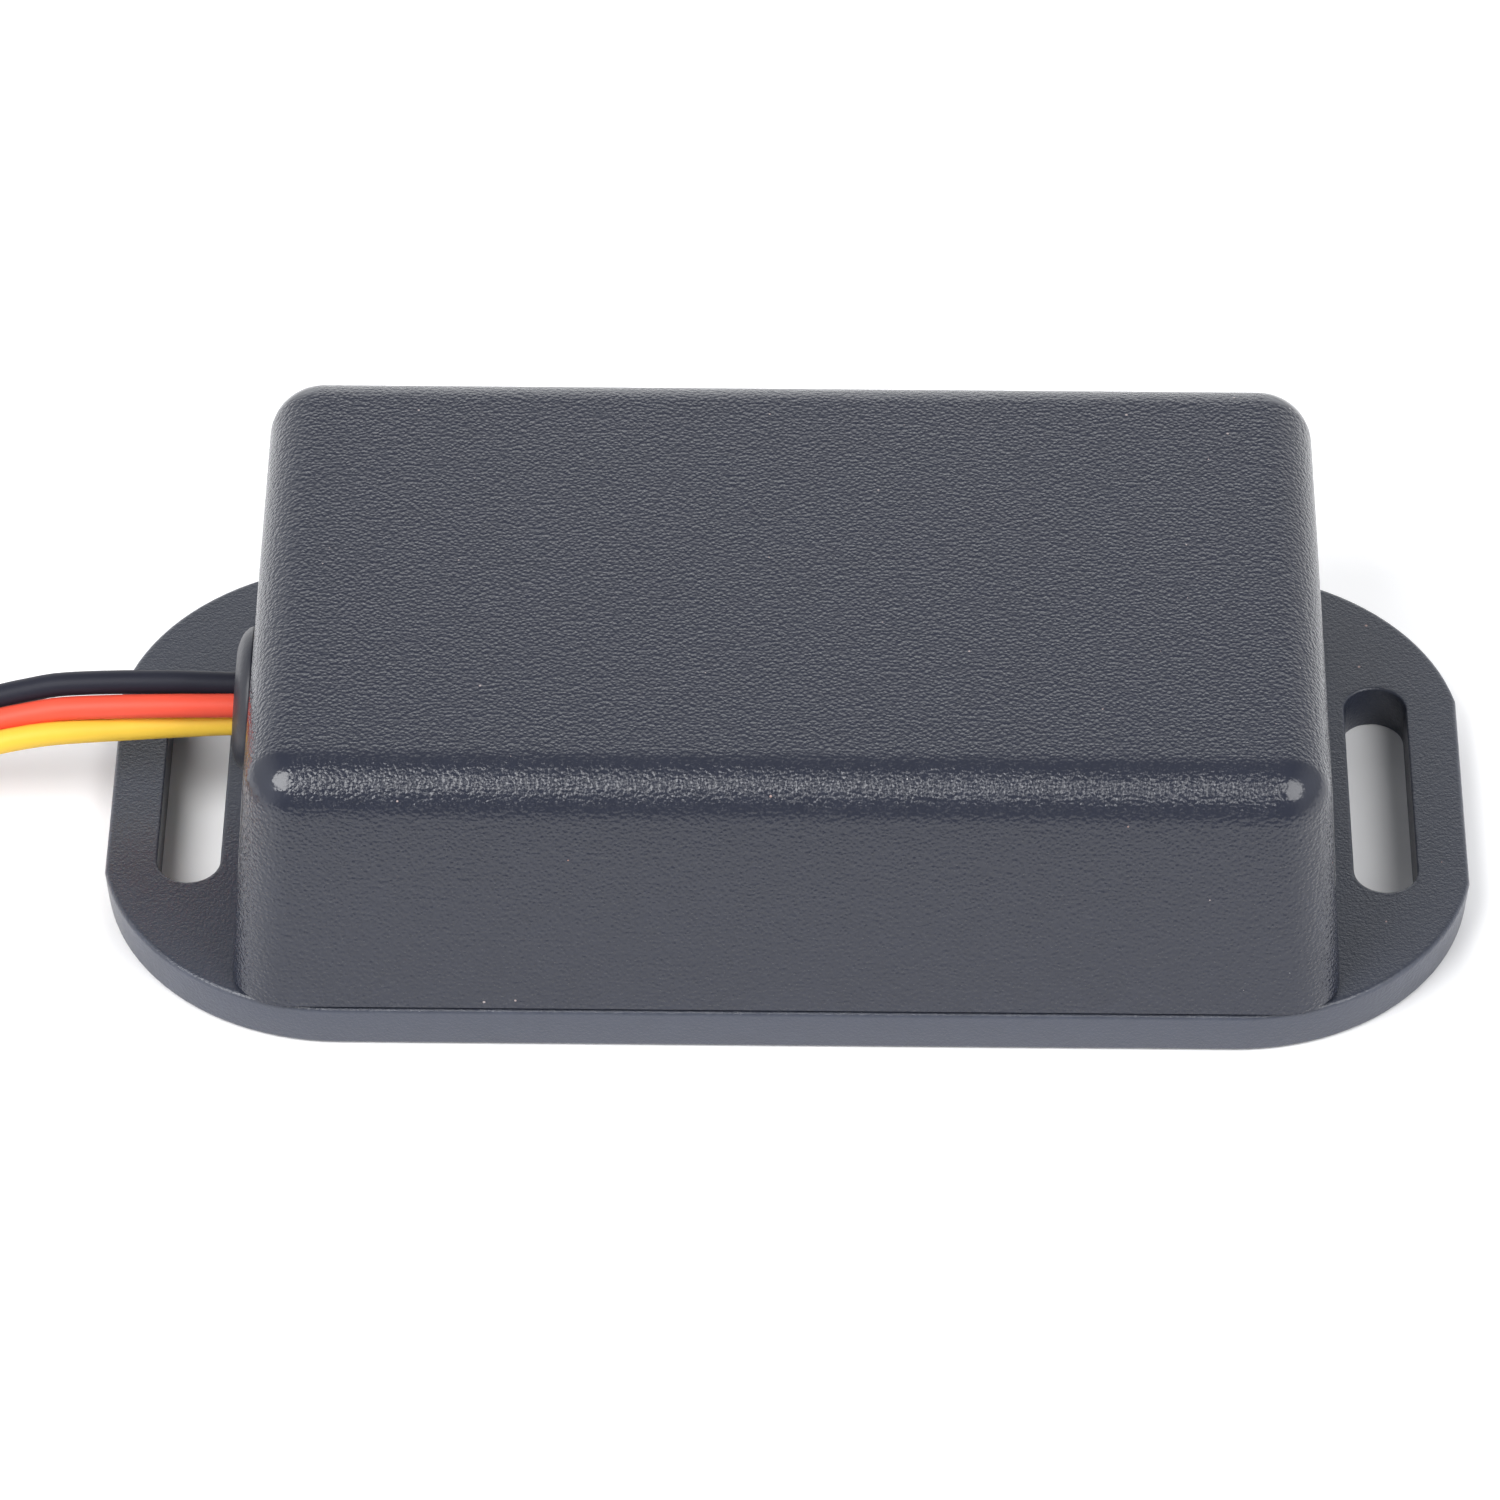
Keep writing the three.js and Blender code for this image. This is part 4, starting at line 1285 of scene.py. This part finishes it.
# capacitor: a can in a shrunk sleeve, with a vent cross pressed into its bare top
capacitorShape = {
    "sleeve": [
        [0, 0], [2.9, 0], [3.15, 0.25], [3.15, 1.0], [2.92, 1.3], [3.15, 1.6],
        [3.15, 6.75], [2.9, 7.0], [2.5, 7.0], [2.4, 6.9], [2.4, 6.7], [0, 6.7],
    ],
    "topRadius": 2.42,
    "topZ": (6.6, 6.93),
    "vent": (0.09, 0.11, 2.0),  # half width, depth, reach of the cross
}


def crossDent(x, y, cross, soft):
    # a pressed cross of half width, depth and reach: full depth where the smaller of |x|, |y| is inside
    # the half width and the larger inside the reach, with walls that rise over the soft distance
    halfWidth, depth, reach = cross
    near, far = np.minimum(np.abs(x), np.abs(y)), np.maximum(np.abs(x), np.abs(y))
    return depth * np.clip((halfWidth - near) / soft + 0.5, 0, 1) * np.clip((reach - far) / soft, 0, 1)


def dentedTop(profile, rows, sides, topZ, cross, soft, at):
    # a turned solid whose last straight stretch, towards the axis, is cut into rows; a cross is pressed
    # into all that lies above topZ
    p = np.asarray(profile, float)
    share = np.linspace(0, 1, rows + 1)[1:, None]
    p = np.concatenate([p[:-1], p[-2] + (p[-1] - p[-2]) * share])
    points, faces = revolved(p, sides)
    top = points[:, 2] > topZ
    points[:, 2] -= np.where(top, crossDent(points[:, 0], points[:, 1], cross, soft), 0)
    return points + np.asarray(at, float), faces


capPlace = (*capacitorAt, partFoot)
skin = revolved(softened(capacitorShape["sleeve"], 0.18), 72, capPlace)
sleeve = makePiece("capacitor_sleeve_skin", [skin], 50)
settle(sleeve, "base", "capacitor_sleeve", replaces=["filter_capacitor"])
low, high = capacitorShape["topZ"]
radius = capacitorShape["topRadius"]
rim = [[0, low], [radius, low], [radius, high - 0.06], [radius - 0.08, high], [0, high]]
vented = dentedTop(rim, 26, 120, high - 0.01, capacitorShape["vent"], 0.07, capPlace)
settle(makePiece("capacitor_top", [vented], 50), "base", "screw_steel")

# screws: a cross in the head, and a thread that winds round the shank
screwShape = {
    "boardHead": [[0, -4], [0.5, -4], [0.8, -3.3], [0.8, 0], [2, 0], [2, 0.7], [1.5, 1.3], [0, 1.42]],
    "recess": (0.27, 0.75, 1.15),  # half width, depth, reach of the cross
    "recessSoft": 0.12,
    "coverHead": [[2.32, 0.15], [2.5, 0.15], [2.5, 0.32], [1.05, 1.8]],
    "faceStart": 0.06,
    "faceRows": 22,
    "shank": (1.9, 9.4, 11.0),  # thread start, taper start, tip
    "core": 0.74,
    "thread": 0.27,
    "pitch": 0.85,
}


def panScrew(shape, at):
    # head upwards: a turned profile with a cross pressed into its top
    head = shape["boardHead"]
    profile = [*softened(head[:-1], 0.12, 3), head[-1]]
    return dentedTop(profile, shape["faceRows"], 96, 1.2, shape["recess"], shape["recessSoft"], at)


def sunkScrew(shape, at):
    # head downwards; the shank's radius is core + thread * |2 frac(z / pitch - a / 2 pi) - 1|, drawn in
    # to nothing along the tip
    start, taper, tip = shape["shank"]
    sides, rows = 64, shape["faceRows"]
    a = np.linspace(0, 2 * np.pi, sides, endpoint=False)
    z = np.arange(start, tip - 0.05, 0.07)
    wave = np.abs(2 * np.mod(z[:, None] / shape["pitch"] - a / (2 * np.pi), 1) - 1)
    r = shape["core"] + shape["thread"] * wave
    r = r * np.clip((tip + 0.1 - z) / (tip + 0.1 - taper), 0.05, 1)[:, None]
    shank = np.stack([r * np.cos(a), r * np.sin(a), np.broadcast_to(z[:, None], r.shape)], -1)
    rim, faceZ = shape["coverHead"][0]
    face = np.stack([np.linspace(shape["faceStart"], rim, rows), np.full(rows, faceZ)], -1)
    head = turnedRings(np.concatenate([face, softened(shape["coverHead"], 0.1, 3)[1:]]), sides)
    x, y = head[:rows, :, 0], head[:rows, :, 1]
    head[:rows, :, 2] += crossDent(x, y, shape["recess"], shape["recessSoft"])
    middle = faceZ + shape["recess"][1]
    points, faces = stacked(np.concatenate([head, shank]), (0, 0, middle), (0, 0, tip))
    return points + np.asarray(at, float), faces


for i, (x, y) in enumerate(boardScrewAt):
    screw = makePiece(f"pan_screw_{i + 1}", [panScrew(screwShape, (x, y, partFoot))], 35)
    settle(screw, "base", "screw_steel", replaces=[f"board_screw_{i + 1}"])
bossX, bossY = coverShape["bossAt"]
for i, (sx, sy) in enumerate(((-1, -1), (1, -1), (-1, 1), (1, 1))):
    screw = makePiece(f"sunk_screw_{i + 1}", [sunkScrew(screwShape, (sx * bossX, sy * bossY, 0))], 35)
    settle(screw, "base", "screw_steel", replaces=[f"cover_screw_{i + 1}"])
print("capacitor and screws made")

# inner ends of the leads: insulation from the grommet to the board, bare strands, solder
solderShape = {
    "cone": [[0, 0], [1.3, 0], [1.22, 0.22], [0.85, 0.72], [0.4, 0.93], [0, 1.0]],
    "lead": 8.61,
}
for name, (padX, padY) in solderSpots.items():
    y, z = (v / mm for v in leadRoutes[name][0][1:])
    rest = solderShape["lead"]
    inner = [
        (-31.4, y, z), (-29.8, y, z), (-28.2, y, z), (-26.2, y + 0.1 * padY, z - 0.1),
        (-23.4, 0.6 * padY, rest + 0.6), (-20.8, 0.93 * padY, rest + 0.1), (-18.2, padY, rest),
    ]
    path = smoothRoute(inner, 0.25)
    piece = makePiece("board_wire_" + name, [carried(path, leadSection(path * mm, leadShape["radius"]))])
    settle(piece, "base", "lead_pvc_" + name, replaces=["board_lead_" + name])
    bare = smoothRoute([(-18.5, padY, rest), (-17.7, padY, rest - 0.02), (padX, padY, rest - 0.3)], 0.08)
    strands = carried(bare, strandTwist(bare * mm, tipRadius) / mm)
    settle(makePiece("bare_strands_" + name, [strands], 60), "base", "solder_tin")
    cone, faces = revolved(softened(solderShape["cone"], 0.2), 40)
    # the cone leans and swells towards the strands: x shifts by 0.12 z, and its rim is a little uneven
    swell = 1 + 0.05 * np.sin(3 * np.arctan2(cone[:, 1], cone[:, 0]) + padY)
    cone = np.stack([cone[:, 0] * swell - 0.12 * cone[:, 2], cone[:, 1] * swell, cone[:, 2]], -1)
    joint = makePiece("solder_cone_" + name, [(cone + [padX, padY, partFoot], faces)], 60)
    settle(joint, "base", "solder_tin", replaces=["solder_joint_" + name])
print("inner leads and solder made")


# plain studio: pale floor, soft surroundings and a round soft lamp in front on each side
studio = {
    "floorSize": 3.0,
    "floorTone": (0.92, 0.92, 0.93, 1),
    "floorFront": 0.07,  # where the floor ends in front, m
    "floorGlow": 0.25,
    "floorClear": (28.0, 57.0, 11.0, 3.5),  # patch without glow: half sizes, rounding and soft rim, mm
    "clearMiddle": -53.0,
    "lamps": {"left_lamp": (-47.0, 46.5, 6.6), "right_lamp": (49.0, 44.5, 4.2)},  # round, up, watts
    "lampAim": (0, -10, 12),
    "lampAway": 800.0,
    "lampRadius": 290.0,
    "skyTone": (0.97, 0.985, 1.0, 1),
    "skyFront": 0.1,
    # further sky: the direction's axis, where the rise starts and is full, how bright it gets
    "sky": [("Y", 0.5, 1.0, 1.4), ("Y", 0.86, 1.0, 0.6), ("X", -0.4, -0.9, 0.8), ("X", 0.4, 0.9, 0.6)],
}


def makeFloor(look):
    size, front = look["floorSize"] / 2, look["floorFront"]
    corners = [(-size, -front, 0), (size, -front, 0), (size, size, 0), (-size, size, 0)]
    mesh = bpy.data.meshes.new("floor")
    mesh.from_pydata(corners, [], [(0, 1, 2, 3)])
    floor = bpy.data.objects.new("floor", mesh)
    scene.collection.objects.link(floor)
    material = bpy.data.materials.new("floor")
    material.use_nodes = True
    tree = material.node_tree
    shader = tree.nodes["Principled BSDF"]
    for name, value in (
        ("Base Color", look["floorTone"]),
        ("Roughness", 0.9),
        ("Specular IOR Level", 0.1),
        ("Emission Color", (1, 1, 1, 1)),
    ):
        shader.inputs[name].default_value = value
    # the glow fades out under the housing and in front: it grows with the distance from a rounded
    # rectangle, hypot(max(|x| - a, 0), max(|y| - b, 0)), over a soft rim
    halfX, halfY, bend, rim = (v * mm for v in look["floorClear"])
    split = addNode(tree, "SeparateXYZ", None, {0: addNode(tree, "TexCoord").outputs["Object"]})
    over = []
    for axis, middle, half in (("X", 0.0, halfX), ("Y", look["clearMiddle"] * mm, halfY)):
        side = calc(tree, "ABSOLUTE", calc(tree, "SUBTRACT", split.outputs[axis], middle), 0.0)
        reach = calc(tree, "SUBTRACT", side, half)
        over.append(calc(tree, "POWER", calc(tree, "MAXIMUM", reach, 0.0), 2.0))
    away = calc(tree, "SQRT", calc(tree, "ADD", *over), 0.0)
    glow = easedRise(tree, away, bend, bend + rim, look["floorGlow"])
    tree.links.new(glow, shader.inputs["Emission Strength"])
    mesh.materials.append(material)


def makeSky(look):
    # brightness by direction: dim in front and overhead, bright low at the back and at both sides; the
    # camera itself sees plain white
    world = bpy.data.worlds.new("studio")
    world.use_nodes = True
    tree = world.node_tree
    tree.nodes.clear()
    split = addNode(tree, "SeparateXYZ", None, {0: addNode(tree, "TexCoord").outputs["Generated"]})
    level = look["skyFront"]
    for axis, low, high, gain in look["sky"]:
        level = calc(tree, "ADD", easedRise(tree, split.outputs[axis], low, high, gain), level)
    light = addNode(tree, "Background", {"Color": look["skyTone"]}, {"Strength": level})
    plain = addNode(tree, "Background", {"Color": (1, 1, 1, 1), "Strength": 1.0})
    ray = addNode(tree, "LightPath").outputs["Is Camera Ray"]
    mix = addNode(tree, "MixShader", None, {0: ray, 1: light.outputs[0], 2: plain.outputs[0]})
    tree.links.new(mix.outputs[0], addNode(tree, "OutputWorld").inputs[0])
    scene.world = world


def makeLamp(name, position, target, radius, power):
    # a round lamp that faces the target
    data = bpy.data.lights.new(name, "AREA")
    data.shape = "DISK"
    data.size = 2 * radius * mm
    data.energy = power
    lamp = bpy.data.objects.new(name, data)
    turn = (target - position).to_track_quat("-Z", "Y").to_matrix().to_4x4()
    lamp.matrix_world = Matrix.Translation(position) @ turn
    scene.collection.objects.link(lamp)


makeFloor(studio)
makeSky(studio)
lampAim = Vector(studio["lampAim"]) * mm
for name, (around, up, power) in studio["lamps"].items():
    a, b = math.radians(around), math.radians(up)
    way = Vector((math.sin(a) * math.cos(b), -math.cos(a) * math.cos(b), math.sin(b)))
    makeLamp(name, lampAim + way * studio["lampAway"] * mm, lampAim, studio["lampRadius"], power)
scene.view_settings.view_transform = "Standard"
print("studio lit")
